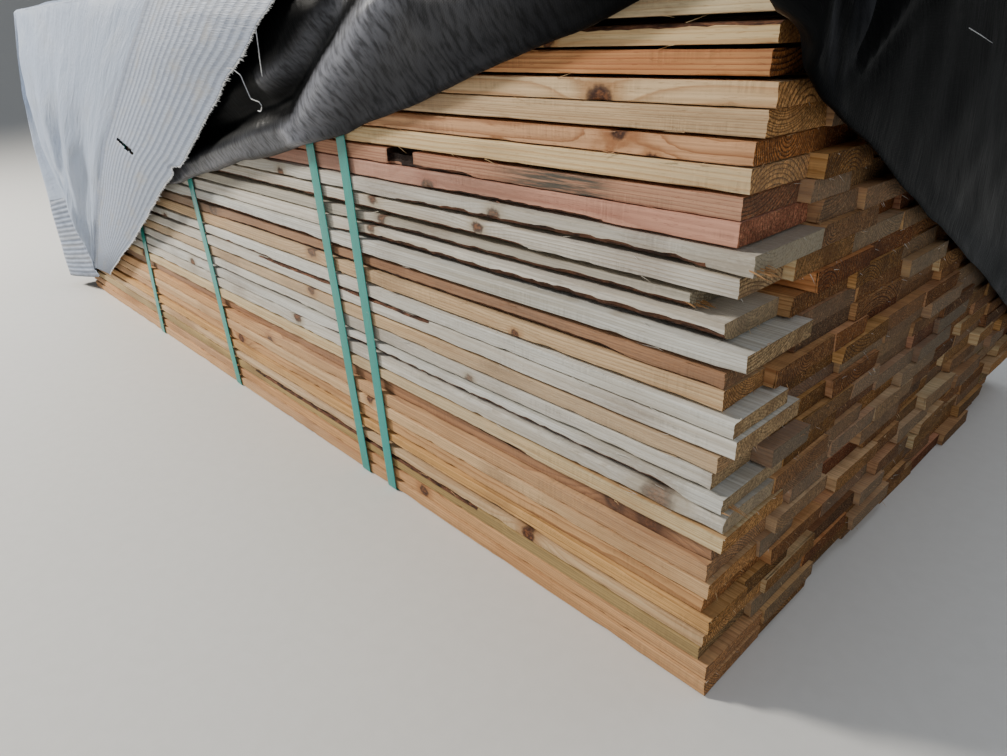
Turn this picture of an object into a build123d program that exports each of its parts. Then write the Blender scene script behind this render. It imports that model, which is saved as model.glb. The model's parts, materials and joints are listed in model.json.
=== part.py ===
# A strapped bundle of rough-sawn softwood boards under a woven wrap that is torn open at one corner.
# Millimetres. The boards lie along X with the open end at +X, the open long side faces -Y, +Z is up.
# The origin is on the floor, under the middle of the whole bundle.
import os
import random

from build123d import *

# Bundle
board_length = 2438.0
bundle_width = 1219.0
layer_count = 35
layer_pitch = 24.6
seat_gap = 0.3
side_gap = 0.5

# Boards: three sawn widths, and the thinnest that an inner board is sawn
board_widths = (89.0, 114.0, 140.0)
thin_board = 23.4
full_board_every = 3
end_spread = 15.0
end_recess = 22.0
row_tries = 60

# Straps: flat band, and the distance of each from the open end
strap_width = 28.0
strap_thickness = 1.0
strap_corner = 0.8
strap_distances = (672.0, 762.0, 1316.0, 1775.0)

# Wrap: sheet, hem above the floor, and the turned-back part that stands proud of it
wrap_thickness = 1.5
wrap_hem = 80.0
fold_thickness = 10.0
top_fold_reach = 330.0
top_fold_thickness = 5.0

# Edge of the tear on the long side: distance from the open end, depth below the top of the boards
side_tear = [
    (0, 12), (130, 86), (330, 141), (720, 245), (1020, 306),
    (1340, 374), (1470, 397), (1630, 480), (2190, 762),
]
# Far edge of the turned-back part on the long side, from its foot to the top
side_crease = [(2360, 776), (2150, 557), (1880, 340), (1550, 143), (1340, 27)]
# Edge of the tear on the open end: distance from the long side, depth below the top of the boards
end_tear = [
    (0, 12), (37, 122), (115, 188), (203, 230), (348, 299), (537, 378), (865, 530), (1093, 650), (1219, 714),
]

# First board of each layer on the long side, from the floor up:
# thickness, how far its open end stands out, how far its face is set back
face_boards = [
    (22, 7, 1), (22, 5, 3), (20, -8, 2), (18, -3, 2), (21, 3, 0), (23, -10, 4), (23, -4, 1),
    (24, -9, 2), (24, -10, 9), (21, 7, 0), (23, 4, 1), (20, 0, 2), (22, -17, 3), (21, -11, 2),
    (23, 8, 0), (21, 4, 0), (24, -14, 3), (19, -15, 4), (23, 8, 0), (22, -21, 3), (18, -65, 6),
    (22, -10, 2), (22, 4, 0), (24, -16, 2), (22, -17, 2), (24, -11, 1), (22, -10, 1), (24, -1, 0),
    (22, 5, 0), (23, -5, 1), (20, -2, 3), (23, -2, 0), (23, -6, 2), (24, 2, 0), (22, -4, 1),
]
face_widths = [
    140, 140, 114, 140, 89, 140, 114, 140, 89, 140, 114, 140, 89, 114,
    140, 114, 89, 140, 140, 114, 140, 89, 140, 140, 114, 114, 140, 114,
    89, 140, 114, 140, 114, 89, 140,
]
# Wane, where the face meets the bark: layer, which edge of the face, how much of the face it takes
face_wane = {11: ("top", 9), 12: ("bottom", 12), 20: ("bottom", 13), 23: ("bottom", 11)}
wane_slope = 1.8

# Broken-out notch in the upper edge of one face board
notch_layer = 24
notch_distance = 544.0
notch_length = 60.0
notch_height = 13.0
notch_depth = 22.0

# Heights
boards_bottom = strap_thickness + seat_gap
boards_top = boards_bottom + layer_count * layer_pitch - seat_gap
full_board = layer_pitch - seat_gap
skin_gap = seat_gap + strap_thickness + seat_gap
strap_crown = boards_top + seat_gap + strap_thickness
wrap_ceiling = boards_top + skin_gap

# Places: the turned-back sheet stands out on two sides, so the boards lie half of it off the middle
middle_x = -fold_thickness / 2
middle_y = fold_thickness / 2
open_end = middle_x + board_length / 2
closed_end = middle_x - board_length / 2
long_side = middle_y - bundle_width / 2
wrap_inner_length = board_length + 2 * (end_spread + seat_gap)
wrap_inner_width = bundle_width + 2 * skin_gap
wrap_outer_length = wrap_inner_length + 2 * wrap_thickness
wrap_outer_width = wrap_inner_width + 2 * wrap_thickness
wrap_front = wrap_outer_width / 2 - middle_y
wrap_end = middle_x + wrap_outer_length / 2


# Rows of boards
def row_widths(layer):
    """Widths of one layer's boards: the first as seen, the rest picked to fill the bundle best."""
    first = min(face_widths[layer % len(face_widths)], bundle_width)
    best = [first]
    for attempt in range(row_tries):
        dice = random.Random(layer * row_tries + attempt)
        widths = [first]
        while True:
            room = bundle_width - sum(widths) - side_gap * len(widths)
            fitting = [width for width in board_widths if width <= room]
            if not fitting:
                break
            widths.append(dice.choices(fitting, [width**3 for width in fitting])[0])
        if sum(widths) + side_gap * len(widths) > sum(best) + side_gap * len(best):
            best = widths
    return best


def board_section(y, z, width, thickness, wane):
    """Corners of a board's section, with the wane cut from one edge of its face if it has any."""
    if wane is None:
        return [(y, z), (y + width, z), (y + width, z + thickness), (y, z + thickness)]
    edge, lost = wane
    slope = lost * wane_slope
    if edge == "top":
        return [
            (y, z), (y + width, z), (y + width, z + thickness), (y + slope, z + thickness),
            (y, z + thickness - lost),
        ]
    return [
        (y, z + lost), (y + slope, z), (y + width, z), (y + width, z + thickness), (y, z + thickness),
    ]


def layer_boards(layer):
    """Section, far end and near end of each board of one layer, from the long side inwards."""
    dice = random.Random(f"layer {layer}")
    bottom = boards_bottom + layer * layer_pitch
    thickness, stand_out, set_back = face_boards[layer % len(face_boards)]
    boards = []
    y = long_side
    for place, width in enumerate(row_widths(layer)):
        far_x = closed_end - dice.uniform(-end_recess, end_spread)
        near_x = open_end + dice.uniform(-end_recess, end_spread)
        sawn = dice.uniform(thin_board, full_board)
        if (place + layer) % full_board_every == 0:
            sawn = full_board
        section = board_section(y, bottom, width, sawn, None)
        if place == 0:
            near_x = open_end + stand_out
            sawn = min(thickness, full_board)
            section = board_section(y + set_back, bottom, width - set_back, sawn, face_wane.get(layer + 1))
        boards.append((section, far_x, near_x))
        y += width + side_gap
    return boards


os.makedirs("parts", exist_ok=True)

for layer in range(layer_count):
    with BuildPart() as board_layer:
        for section, far_x, near_x in layer_boards(layer):
            with BuildSketch(Plane.YZ.offset(far_x)):
                with BuildLine():
                    Polyline(*section, close=True)
                make_face()
            extrude(amount=near_x - far_x)
        if layer == notch_layer:
            thickness, _, set_back = face_boards[layer % len(face_boards)]
            notch_z = boards_bottom + layer * layer_pitch + thickness - notch_height / 2
            with Locations((open_end - notch_distance, long_side + set_back, notch_z)):
                Box(notch_length, 2 * notch_depth, notch_height, mode=Mode.SUBTRACT)
    board_layer.part.label = f"board_layer_{layer + 1:02d}"
    export_step(board_layer.part, f"parts/{board_layer.part.label}.step")

# Straps
for number, distance in enumerate(strap_distances, start=1):
    with BuildPart() as strap:
        with BuildSketch(Plane.YZ.offset(open_end - distance - strap_width / 2)):
            with Locations((middle_y, strap_crown / 2)):
                RectangleRounded(
                    bundle_width + 2 * (seat_gap + strap_thickness), strap_crown, strap_corner
                )
                Rectangle(
                    bundle_width + 2 * seat_gap, strap_crown - 2 * strap_thickness, mode=Mode.SUBTRACT
                )
        extrude(amount=strap_width)
    strap.part.label = f"strap_{number}"
    export_step(strap.part, f"parts/{strap.part.label}.step")


# Wrap
def side_point(point):
    """A point of the long side, from its distance to the open end and its depth below the top."""
    distance, depth = point
    return (open_end - distance, boards_top - depth)


def end_point(point):
    """A point of the open end, from its distance to the long side and its depth below the top."""
    distance, depth = point
    return (long_side + distance, boards_top - depth)


wrap_roof = wrap_ceiling + wrap_thickness
past_the_corner = 2 * (end_spread + fold_thickness)
side_edge = [side_point(point) for point in side_tear]
side_back = [side_point(point) for point in side_crease]
end_edge = [end_point(point) for point in end_tear]

with BuildPart() as lumber_wrap:
    with BuildSketch(Plane.XY.offset(wrap_hem)):
        with Locations((middle_x, middle_y)):
            Rectangle(wrap_outer_length, wrap_outer_width)
    extrude(amount=wrap_roof - wrap_hem)
    with BuildSketch(Plane.XY.offset(wrap_hem)):
        with Locations((middle_x, middle_y)):
            Rectangle(wrap_inner_length, wrap_inner_width)
    extrude(amount=wrap_ceiling - wrap_hem, mode=Mode.SUBTRACT)
    # The tear, cut through the long side and through the open end
    with BuildSketch(Plane.XZ.offset(wrap_front)):
        with BuildLine():
            Polyline(
                (wrap_end + past_the_corner, 0),
                (wrap_end + past_the_corner, side_edge[0][1]),
                *side_edge,
                (side_edge[-1][0], 0),
                close=True,
            )
        make_face()
    extrude(amount=-skin_gap - wrap_thickness, mode=Mode.SUBTRACT)
    with BuildSketch(Plane.YZ.offset(wrap_end)):
        with BuildLine():
            Polyline(
                (long_side - past_the_corner, 0),
                (long_side - past_the_corner, end_edge[0][1]),
                *end_edge,
                (end_edge[-1][0], 0),
                close=True,
            )
        make_face()
    extrude(amount=-end_spread, mode=Mode.SUBTRACT)
    # The sheet turned back on itself above the tear, on the long side, on the open end and on top
    with BuildSketch(Plane.XZ.offset(wrap_front)):
        with BuildLine():
            Polyline(
                (wrap_end, side_edge[0][1]),
                *side_edge,
                *side_back,
                (side_back[-1][0], wrap_roof),
                (wrap_end, wrap_roof),
                close=True,
            )
        make_face()
    extrude(amount=fold_thickness)
    with BuildSketch(Plane.YZ.offset(wrap_end)):
        with BuildLine():
            Polyline(
                (-wrap_front, end_edge[0][1]),
                *end_edge,
                (end_edge[-1][0], wrap_roof),
                (-wrap_front, wrap_roof),
                close=True,
            )
        make_face()
    extrude(amount=fold_thickness)
    with BuildSketch(Plane.XY.offset(wrap_roof)):
        with BuildLine():
            Polyline(
                (wrap_end, -wrap_front),
                (wrap_end, end_edge[-1][0]),
                (wrap_end - top_fold_reach, end_edge[-1][0]),
                (wrap_end - top_fold_reach, -wrap_front + top_fold_reach),
                (side_back[-1][0], -wrap_front + top_fold_reach),
                (side_back[-1][0], -wrap_front),
                close=True,
            )
        make_face()
    extrude(amount=top_fold_thickness)
lumber_wrap.part.label = "lumber_wrap"
export_step(lumber_wrap.part, "parts/lumber_wrap.step")
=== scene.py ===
"""Looks of a strapped bundle of rough-sawn boards under a torn woven wrap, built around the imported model.

Metres. Boards lie along X with the open end at +X, the open long side faces -Y, +Z is up.
"Distance" is measured from the open end, "across" from the long side, "height" from the boards' bottom
and "stand" straight out from the boards.
"""
import itertools
import json
import math
import random

import bmesh
import bpy
import numpy as np
from mathutils import Matrix, Vector

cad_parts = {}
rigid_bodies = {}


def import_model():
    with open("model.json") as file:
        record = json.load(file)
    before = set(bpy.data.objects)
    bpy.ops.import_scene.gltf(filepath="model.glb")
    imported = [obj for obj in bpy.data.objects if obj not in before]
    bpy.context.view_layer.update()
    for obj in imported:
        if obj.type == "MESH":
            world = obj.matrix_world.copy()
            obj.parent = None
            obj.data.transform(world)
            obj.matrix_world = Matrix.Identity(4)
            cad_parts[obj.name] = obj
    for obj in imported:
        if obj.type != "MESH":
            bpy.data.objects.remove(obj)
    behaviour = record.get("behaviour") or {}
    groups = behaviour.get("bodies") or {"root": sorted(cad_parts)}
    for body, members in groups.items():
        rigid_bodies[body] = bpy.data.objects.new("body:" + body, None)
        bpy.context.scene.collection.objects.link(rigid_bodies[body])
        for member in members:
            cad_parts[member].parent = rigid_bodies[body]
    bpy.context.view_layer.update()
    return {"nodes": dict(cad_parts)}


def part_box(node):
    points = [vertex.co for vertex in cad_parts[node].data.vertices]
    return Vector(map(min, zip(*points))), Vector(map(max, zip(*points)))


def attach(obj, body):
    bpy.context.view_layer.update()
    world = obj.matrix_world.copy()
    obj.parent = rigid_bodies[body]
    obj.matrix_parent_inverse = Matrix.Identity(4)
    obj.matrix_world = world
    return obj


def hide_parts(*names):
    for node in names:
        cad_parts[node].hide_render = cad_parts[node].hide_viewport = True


bl_info = {
    "name": "Lumber Stack Looks",
    "version": (1, 0, 0),
    "blender": (4, 5, 0),
    "location": "3D View > Sidebar > Lumber",
    "description": "Dresses a strapped bundle of sawn boards and its torn wrap",
    "category": "Object",
}

for left_over in list(bpy.data.objects):
    bpy.data.objects.remove(left_over)
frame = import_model()

MM = 0.001
LAYERS = sorted(name for name in frame["nodes"] if name.startswith("board_layer"))
STRAPS = sorted(name for name in frame["nodes"] if name.startswith("strap"))
WRAP = "lumber_wrap"

# Places read from the frame
FIRST_STRAP_DISTANCE = 672 * MM
STRAP_LOW, STRAP_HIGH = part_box(STRAPS[0])
WRAP_LOW, WRAP_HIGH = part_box(WRAP)
OPEN_END = (STRAP_LOW.x + STRAP_HIGH.x) / 2 + FIRST_STRAP_DISTANCE
LONG_SIDE = min(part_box(name)[0].y for name in LAYERS)
BACK_SIDE = max(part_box(name)[1].y for name in LAYERS)
BOARDS_BOTTOM = min(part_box(name)[0].z for name in LAYERS)
BOARDS_TOP = max(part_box(name)[1].z for name in LAYERS)
FURTHEST_BOARD = max(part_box(name)[1].x for name in LAYERS)

# The photograph's eye
EYE = Vector((1.526, -1.2045, 0.7518))
EYE_YAW = math.radians(47.389)
EYE_PITCH = math.radians(25.51)
EYE_ROLL = math.radians(-1.82)
EYE_FOCUS = 716.8
PHOTO_WIDTH = 1007


def hex_to_linear(code):
    """Linear red, green and blue of an sRGB hex colour."""
    values = [int(code[i : i + 2], 16) / 255 for i in (1, 3, 5)]
    return [v / 12.92 if v <= 0.04045 else ((v + 0.055) / 1.055) ** 2.4 for v in values]


def rgba(code):
    """A hex colour as the four linear numbers that a colour socket takes."""
    return (*hex_to_linear(code), 1.0)


def smooth_step(low, high, value):
    """0 below low, 1 above high, and a smooth rise between."""
    part = np.clip((value - low) / (high - low), 0, 1)
    return part * part * (3 - 2 * part)


# Large numbers that scatter the bits of a cell's number
SEED_STEP, SEED_START, CELL_STEP = 374761393, 668265263, 2654435761
AXIS_STEP, MIX_STEP = 40503, 2246822519


def lattice_value(cells, seed):
    """A repeatable number from -1 to 1 for each whole-number cell."""
    mixed = np.full(cells.shape[:-1], seed * SEED_STEP + SEED_START, dtype=np.uint64)
    for axis in range(cells.shape[-1]):
        whole = cells[..., axis].astype(np.int64).astype(np.uint64)
        mixed ^= whole * np.uint64(CELL_STEP + AXIS_STEP * axis)
        mixed = (mixed ^ (mixed >> np.uint64(15))) * np.uint64(MIX_STEP)
        mixed = mixed ^ (mixed >> np.uint64(13))
    return (mixed & np.uint64(0xFFFFFF)).astype(float) / 0x7FFFFF - 1.0


def noise(points, cell, seed):
    """Smooth noise from -1 to 1, with features about one cell across."""
    scaled = np.asarray(points, float) / cell
    if scaled.ndim == 1:
        scaled = scaled[:, None]
    base = np.floor(scaled)
    part = scaled - base
    part = part * part * (3 - 2 * part)
    total = np.zeros(scaled.shape[:-1])
    for corner in itertools.product((0, 1), repeat=scaled.shape[-1]):
        weight = np.prod(np.where(corner, part, 1 - part), axis=-1)
        total += weight * lattice_value(base + corner, seed)
    return total


def rough(points, cell, seed, steps=3):
    """Noise with finer and fainter noise on it."""
    return sum(noise(points, cell / 2**k, seed + 17 * k) / 2**k for k in range(steps))


def spots(first, second):
    """Points made of two rows of values."""
    return np.stack([first, second], axis=-1)


def creases(points, cell, seed, sharpness):
    """Thin ridges from 0 to 1, which run where the noise passes through 0."""
    return (1 - np.abs(noise(points, cell, seed))) ** sharpness


def way_along(points):
    """Distance of each point from the first, along the line through them."""
    return np.concatenate([[0], np.cumsum(np.linalg.norm(np.diff(points, axis=0), axis=1))])


def noise_at(place, cell, seed):
    """Noise at one place along a line."""
    return noise(np.array([place]), cell, seed)[0]


class Gathered:
    """Points, faces and their values, gathered until they become one mesh."""

    def __init__(self):
        self.points, self.faces, self.slots, self.values, self.count = [], [], [], {}, 0

    def take(self, points, faces, slots, **values):
        """Adds a patch; each value is one row for all its points, or one row for each."""
        points = np.asarray(points, float).reshape(-1, 3)
        self.points.append(points)
        self.faces += [tuple(int(i) + self.count for i in face) for face in faces]
        self.slots += [slots] * len(faces) if isinstance(slots, int) else list(slots)
        for name, value in values.items():
            value = np.asarray(value, float)
            rows = np.broadcast_to(value, (len(points), value.shape[-1]))
            self.values.setdefault(name, []).append(rows)
        self.count += len(points)

    def become(self, name, materials, crease=math.radians(32)):
        """The object made of everything gathered, smooth but for edges sharper than crease."""
        mesh = bpy.data.meshes.new(name)
        mesh.from_pydata(np.concatenate(self.points).tolist(), [], self.faces)
        for material in materials:
            mesh.materials.append(material)
        mesh.polygons.foreach_set("material_index", self.slots)
        mesh.polygons.foreach_set("use_smooth", [True] * len(mesh.polygons))
        for value_name, rows in self.values.items():
            rows = np.concatenate(rows).astype(np.float32)
            kind, key = {3: ("FLOAT_VECTOR", "vector"), 4: ("FLOAT_COLOR", "color")}[rows.shape[1]]
            mesh.attributes.new(value_name, kind, "POINT").data.foreach_set(key, rows.ravel())
        mesh.update()
        mesh.set_sharp_from_angle(angle=crease)
        made = bpy.data.objects.new(name, mesh)
        bpy.context.scene.collection.objects.link(made)
        return made


def grid_faces(rows, columns, closed=False):
    """Faces of a grid of points stored row by row, whose last column meets the first if closed."""
    faces = []
    for start in range(0, (rows - 1) * columns, columns):
        above = start + columns
        for c in range(columns if closed else columns - 1):
            after = (c + 1) % columns
            faces.append((start + c, start + after, above + after, above + c))
    return faces


def settle(piece, slot_name, *nodes):
    """Puts a finished piece on the one body and hides what it stands for."""
    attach(piece, "root")
    if nodes:
        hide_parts(*nodes)
    return piece


# Materials

# Settings that repeat: a mix of two colours, and a range followed smoothly
COLOUR_MIX = {"out": 2, "data_type": "RGBA"}
SMOOTH = {"interpolation_type": "SMOOTHSTEP"}
# Distortion, detail and detail scale of an even wave
PLAIN_WAVE = (0.0, 0.0, 1.0)


def add(tree, kind, *inputs, out=0, named=None, **settings):
    """Adds a node with its settings and inputs (value, hex colour or socket to link); gives an output."""
    made = tree.nodes.new("ShaderNode" + kind)
    for key, value in settings.items():
        setattr(made, key, value)
    for place, value in [*enumerate(inputs), *(named or {}).items()]:
        socket = made.inputs[place]
        if isinstance(value, bpy.types.NodeSocket):
            tree.links.new(value, socket)
        elif value is not None:
            socket.default_value = rgba(value) if isinstance(value, str) else value
    return made.outputs[out] if made.outputs else None


def new_material(name):
    """An empty node material, and its tree."""
    material = bpy.data.materials.new(name)
    material.use_nodes = True
    material.node_tree.nodes.clear()
    return material, material.node_tree


def shade(tree, colour, bump, roughness, **more):
    """Closes a tree with a principled shader; fixed values are set on its own sockets."""
    named = {"Base Color": colour, "Roughness": roughness, "Normal": bump}
    named.update({name.replace("_", " "): value for name, value in more.items()})
    add(tree, "OutputMaterial", add(tree, "BsdfPrincipled", named=named))


# Spacings of the wrap's weave, of its border's ribs and of the stitches across them
TAPE_SPACING = 3 * MM
RIB_SPACING = 15 * MM
STITCH_SPACING = 8 * MM
RING_WIDTH_JITTER = 0.9
# A knot is longer along the board than across it, and it bends the grain for several times its size
KNOT_SHAPE = (0.75, 0.35, 1.0)
KNOT_BEND = (0.4, 0.25, 1.0)
KNOT_FADE = -0.16


def growth_rings(tree):
    """Shared by all wood: rings round a board's pith, bent by its knots, and the knots themselves."""
    place = add(tree, "TexCoord", out=3)
    pith = add(tree, "Attribute", out=1, attribute_name="pith")
    grain = add(tree, "Attribute", out=1, attribute_name="grain")
    spacing = add(tree, "SeparateXYZ", grain)
    wander = spacing.node.outputs[1]
    contrast = spacing.node.outputs[2]
    local = add(tree, "VectorMath", place, pith, operation="SUBTRACT")
    slow = add(tree, "VectorMath", local, (3.2, 6.0, 6.0), operation="MULTIPLY")
    drift = add(tree, "TexNoise", slow, None, 1.0, 2.0, 0.45, out=1)
    drift = add(tree, "VectorMath", drift, (0.5, 0.5, 0.5), operation="SUBTRACT")
    drift = add(tree, "VectorMath", drift, named={3: wander}, operation="SCALE")
    moved = add(tree, "VectorMath", local, drift, operation="ADD")
    moved = add(tree, "VectorMath", moved, (0.0, 1.0, 1.0), operation="MULTIPLY")
    radius = add(tree, "VectorMath", moved, out=1, operation="LENGTH")
    knots = None
    wobble = add(tree, "TexNoise", place, None, 90.0, 3.0, 0.55, out=1)
    wobble = add(tree, "VectorMath", wobble, (0.5, 0.5, 0.5), operation="SUBTRACT")
    wobble = add(tree, "VectorMath", wobble, named={3: 12 * MM}, operation="SCALE")
    for name in ("knot_a", "knot_b"):
        knot = add(tree, "Attribute", out=1, attribute_name=name)
        size = knot.node.outputs[3]
        offset = add(tree, "VectorMath", place, knot, operation="SUBTRACT")
        offset = add(tree, "VectorMath", offset, wobble, operation="ADD")
        bend = add(tree, "VectorMath", offset, KNOT_BEND, operation="MULTIPLY")
        bend = add(tree, "VectorMath", bend, out=1, operation="LENGTH")
        bend = add(tree, "Math", bend, size, operation="DIVIDE")
        bend = add(tree, "Math", bend, bend, operation="MULTIPLY")
        bend = add(tree, "Math", bend, KNOT_FADE, operation="MULTIPLY")
        push = add(tree, "Math", bend, operation="EXPONENT")
        push = add(tree, "Math", push, size, operation="MULTIPLY")
        radius = add(tree, "Math", push, 0.85, radius, operation="MULTIPLY_ADD")
        shape = add(tree, "VectorMath", offset, KNOT_SHAPE, operation="MULTIPLY")
        away = add(tree, "VectorMath", shape, out=1, operation="LENGTH")
        away = add(tree, "Math", away, size, operation="DIVIDE")
        knots = away if knots is None else add(tree, "Math", knots, away, operation="MINIMUM")
    phase = add(tree, "Math", radius, spacing, operation="DIVIDE")
    slower = add(tree, "Math", phase, 0.43, operation="MULTIPLY")
    uneven = add(tree, "TexNoise", None, slower, 1.0, 1.0, 0.5, noise_dimensions="1D")
    phase = add(tree, "Math", uneven, RING_WIDTH_JITTER, phase, operation="MULTIPLY_ADD")
    band = add(tree, "Math", phase, operation="FRACT")
    late = add(tree, "Math", band, 3.6, operation="POWER")
    fall = add(tree, "MapRange", band, 0.9, 1.0, 1.35, 0.0)
    late = add(tree, "Math", late, fall, operation="MULTIPLY")
    late = add(tree, "Math", late, contrast, operation="MULTIPLY")
    return place, local, late, knots


def grain_of(tree, place, per_metre, detail=2.0, roughness=0.5):
    """Noise whose features are as long along X, Y and Z as per_metre says, and its own output."""
    stretched = add(tree, "VectorMath", place, per_metre, operation="MULTIPLY")
    return add(tree, "TexNoise", stretched, None, 1.0, detail, roughness)


def laid_over(tree, colour, other, pattern, low, high, at_low, at_high, times=None):
    """A colour with another laid over it, by a share that follows a pattern, and that may be multiplied."""
    share = add(tree, "MapRange", pattern, low, high, at_low, at_high, **SMOOTH)
    if times is not None:
        share = add(tree, "Math", share, times, operation="MULTIPLY")
    return add(tree, "Mix", share, named={6: colour, 7: other}, **COLOUR_MIX)


def shaded_by(tree, colour, pattern, low, high, at_low, at_high):
    """A colour made darker or lighter as a pattern falls and rises."""
    share = add(tree, "MapRange", pattern, low, high, at_low, at_high, **SMOOTH)
    return add(tree, "Mix", 1.0, named={6: colour, 7: share}, blend_type="MULTIPLY", **COLOUR_MIX)


def bumps(tree, strength, deepest, height, *others):
    """A bump that follows a pattern and others added to it, each with how much of it counts."""
    for pattern, times in others:
        height = add(tree, "Math", pattern, times, height, operation="MULTIPLY_ADD")
    return add(tree, "Bump", strength, deepest, None, height)


def crossed_waves(tree, spacing, *ways):
    """Waves of one spacing, each from a place and a direction, that cross as a height from 0 to 1."""
    scale = math.pi / (10 * spacing)
    height = None
    for place, way in ways:
        wave = add(tree, "TexWave", place, scale, *PLAIN_WAVE, out=1, bands_direction=way)
        height = wave if height is None else add(tree, "Math", height, wave, operation="MULTIPLY")
    return height


def sawn_softwood():
    """Rough-sawn softwood along the grain: growth rings as stripes, fibres, resin dashes and saw ridges."""
    material, tree = new_material("rough_sawn_softwood")
    place, local, late, knots = growth_rings(tree)
    early = add(tree, "Attribute", attribute_name="side_early")
    darker = add(tree, "Attribute", attribute_name="side_late")
    marks = add(tree, "Attribute", out=1, attribute_name="marks")
    mildew = add(tree, "SeparateXYZ", marks)
    brown = mildew.node.outputs[1]
    grey = mildew.node.outputs[2]
    colour = add(tree, "Mix", late, named={6: early, 7: darker}, **COLOUR_MIX)
    # Fibres are 1 to 2 mm wide and a hand long
    fibre = grain_of(tree, local, (6.0, 520.0, 520.0), 3.0, 0.6)
    colour = shaded_by(tree, colour, fibre, 0.3, 0.7, 0.84, 1.1)
    # Resin canals are dark dashes about 12 mm long
    dash = grain_of(tree, local, (70.0, 1100.0, 1100.0), 1.0)
    dash = add(tree, "MapRange", dash, 0.66, 0.74, 0.0, 0.42, **SMOOTH)
    colour = add(tree, "Mix", dash, named={6: colour, 7: darker}, **COLOUR_MIX)
    # Streaks of the grain about 7 mm wide, and broad patches of sap and heartwood
    streak = grain_of(tree, local, (1.4, 140.0, 140.0), 2.0, 0.55)
    colour = laid_over(tree, colour, darker, streak, 0.45, 0.75, 0.0, 0.45)
    colour = shaded_by(tree, colour, streak, 0.2, 0.5, 1.14, 1.0)
    patch = grain_of(tree, local, (3.4, 30.0, 30.0), 3.0)
    colour = laid_over(tree, colour, darker, patch, 0.45, 0.75, 0.0, 0.45)
    # The saw leaves a ridge about every 3 mm across the board, in runs
    saw = grain_of(tree, place, (330.0, 9.0, 14.0), 1.0)
    runs = grain_of(tree, local, (9.0, 40.0, 60.0), 2.0)
    runs = add(tree, "MapRange", runs, 0.4, 0.65, 0.0, 1.0, **SMOOTH)
    ridge = add(tree, "Math", saw, runs, operation="MULTIPLY")
    colour = shaded_by(tree, colour, ridge, 0.25, 0.75, 1.0, 0.86)
    # Darker, resinous grain round a knot, then its brown heart with a darker, broken rim
    colour = laid_over(tree, colour, darker, knots, 0.9, 3.2, 0.75, 0.0)
    knot_grain = grain_of(tree, place, (180.0, 180.0, 260.0), 3.0, 0.6)
    knot_colour = laid_over(tree, "#7E4E2C", "#3F2213", knot_grain, 0.35, 0.65, 0.0, 1.0)
    colour = laid_over(tree, colour, knot_colour, knots, 0.7, 1.15, 1.0, 0.0)
    outer = add(tree, "MapRange", knots, 0.5, 0.85, 0.0, 1.0, **SMOOTH)
    inner = add(tree, "MapRange", knots, 0.95, 1.45, 0.8, 0.0, **SMOOTH)
    rim = add(tree, "Math", outer, inner, operation="MULTIPLY")
    colour = laid_over(tree, colour, "#34190D", knot_grain, 0.3, 0.6, 0.7, 1.0, rim)
    # Weathered grey, brown stain and mildew, each broken up along the grain
    speck = grain_of(tree, place, (90.0, 500.0, 420.0), 3.0, 0.7)
    colour = laid_over(tree, colour, "#A09687", speck, 0.25, 0.6, 0.45, 1.0, grey)
    # In the notch the brown mark is painted shade
    colour = laid_over(tree, colour, "#5B3824", speck, 0.3, 0.7, 0.6, 1.0, brown)
    mould = grain_of(tree, place, (16.0, 300.0, 300.0), 4.0, 0.65)
    colour = laid_over(tree, colour, "#3F433C", mould, 0.36, 0.58, 0.15, 0.92, mildew)
    bump = bumps(tree, 0.75, 0.8 * MM, fibre, (ridge, 0.9), (late, 0.35), (dash, -0.8))
    roughness = add(tree, "MapRange", late, 0.0, 1.0, 0.82, 0.7, **SMOOTH)
    shade(tree, colour, bump, roughness, IOR=1.5, Specular_IOR_Level=0.35)
    return material


def sawn_end_grain():
    """Cross-cut softwood: growth rings about the pith, darker than the sides, torn by the saw."""
    material, tree = new_material("saw_cut_end_grain")
    place, local, late, _ = growth_rings(tree)
    early = add(tree, "Attribute", attribute_name="end_early")
    darker = add(tree, "Attribute", attribute_name="end_late")
    marks = add(tree, "Attribute", out=1, attribute_name="marks")
    grey = add(tree, "SeparateXYZ", marks, out=2)
    late = add(tree, "MapRange", late, 0.0, 0.55, 0.0, 1.0, **SMOOTH)
    colour = add(tree, "Mix", late, named={6: early, 7: darker}, **COLOUR_MIX)
    # Torn pores about 2 mm across catch the light and hold dirt
    speckle = grain_of(tree, local, (340.0, 340.0, 340.0), 3.0, 0.7)
    colour = shaded_by(tree, colour, speckle, 0.35, 0.65, 0.5, 1.3)
    torn = grain_of(tree, local, (600.0, 480.0, 620.0), 2.0, 0.6)
    colour = laid_over(tree, colour, "#CFAE80", torn, 0.58, 0.68, 0.0, 0.5)
    fleck = grain_of(tree, local, (160.0, 160.0, 230.0), 2.0, 0.6)
    colour = shaded_by(tree, colour, fleck, 0.35, 0.65, 0.78, 1.1)
    # Scratches of the cut-off saw, upright and about 3 mm apart
    turned = add(tree, "Mapping", place, None, (math.radians(24), 0.0, 0.0))
    scratch = grain_of(tree, turned, (30.0, 380.0, 26.0), 2.0)
    colour = shaded_by(tree, colour, scratch, 0.35, 0.7, 1.08, 0.78)
    blotch = grain_of(tree, local, (14.0, 26.0, 40.0), 2.0)
    colour = laid_over(tree, colour, darker, blotch, 0.45, 0.72, 0.0, 0.55)
    colour = laid_over(tree, colour, "#9C9480", speckle, 0.25, 0.6, 0.5, 1.0, grey)
    bump = bumps(tree, 1.0, 2.2 * MM, speckle, (scratch, 0.6), (late, 0.3))
    shade(tree, colour, bump, 0.88, IOR=1.5, Specular_IOR_Level=0.25)
    return material


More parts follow.
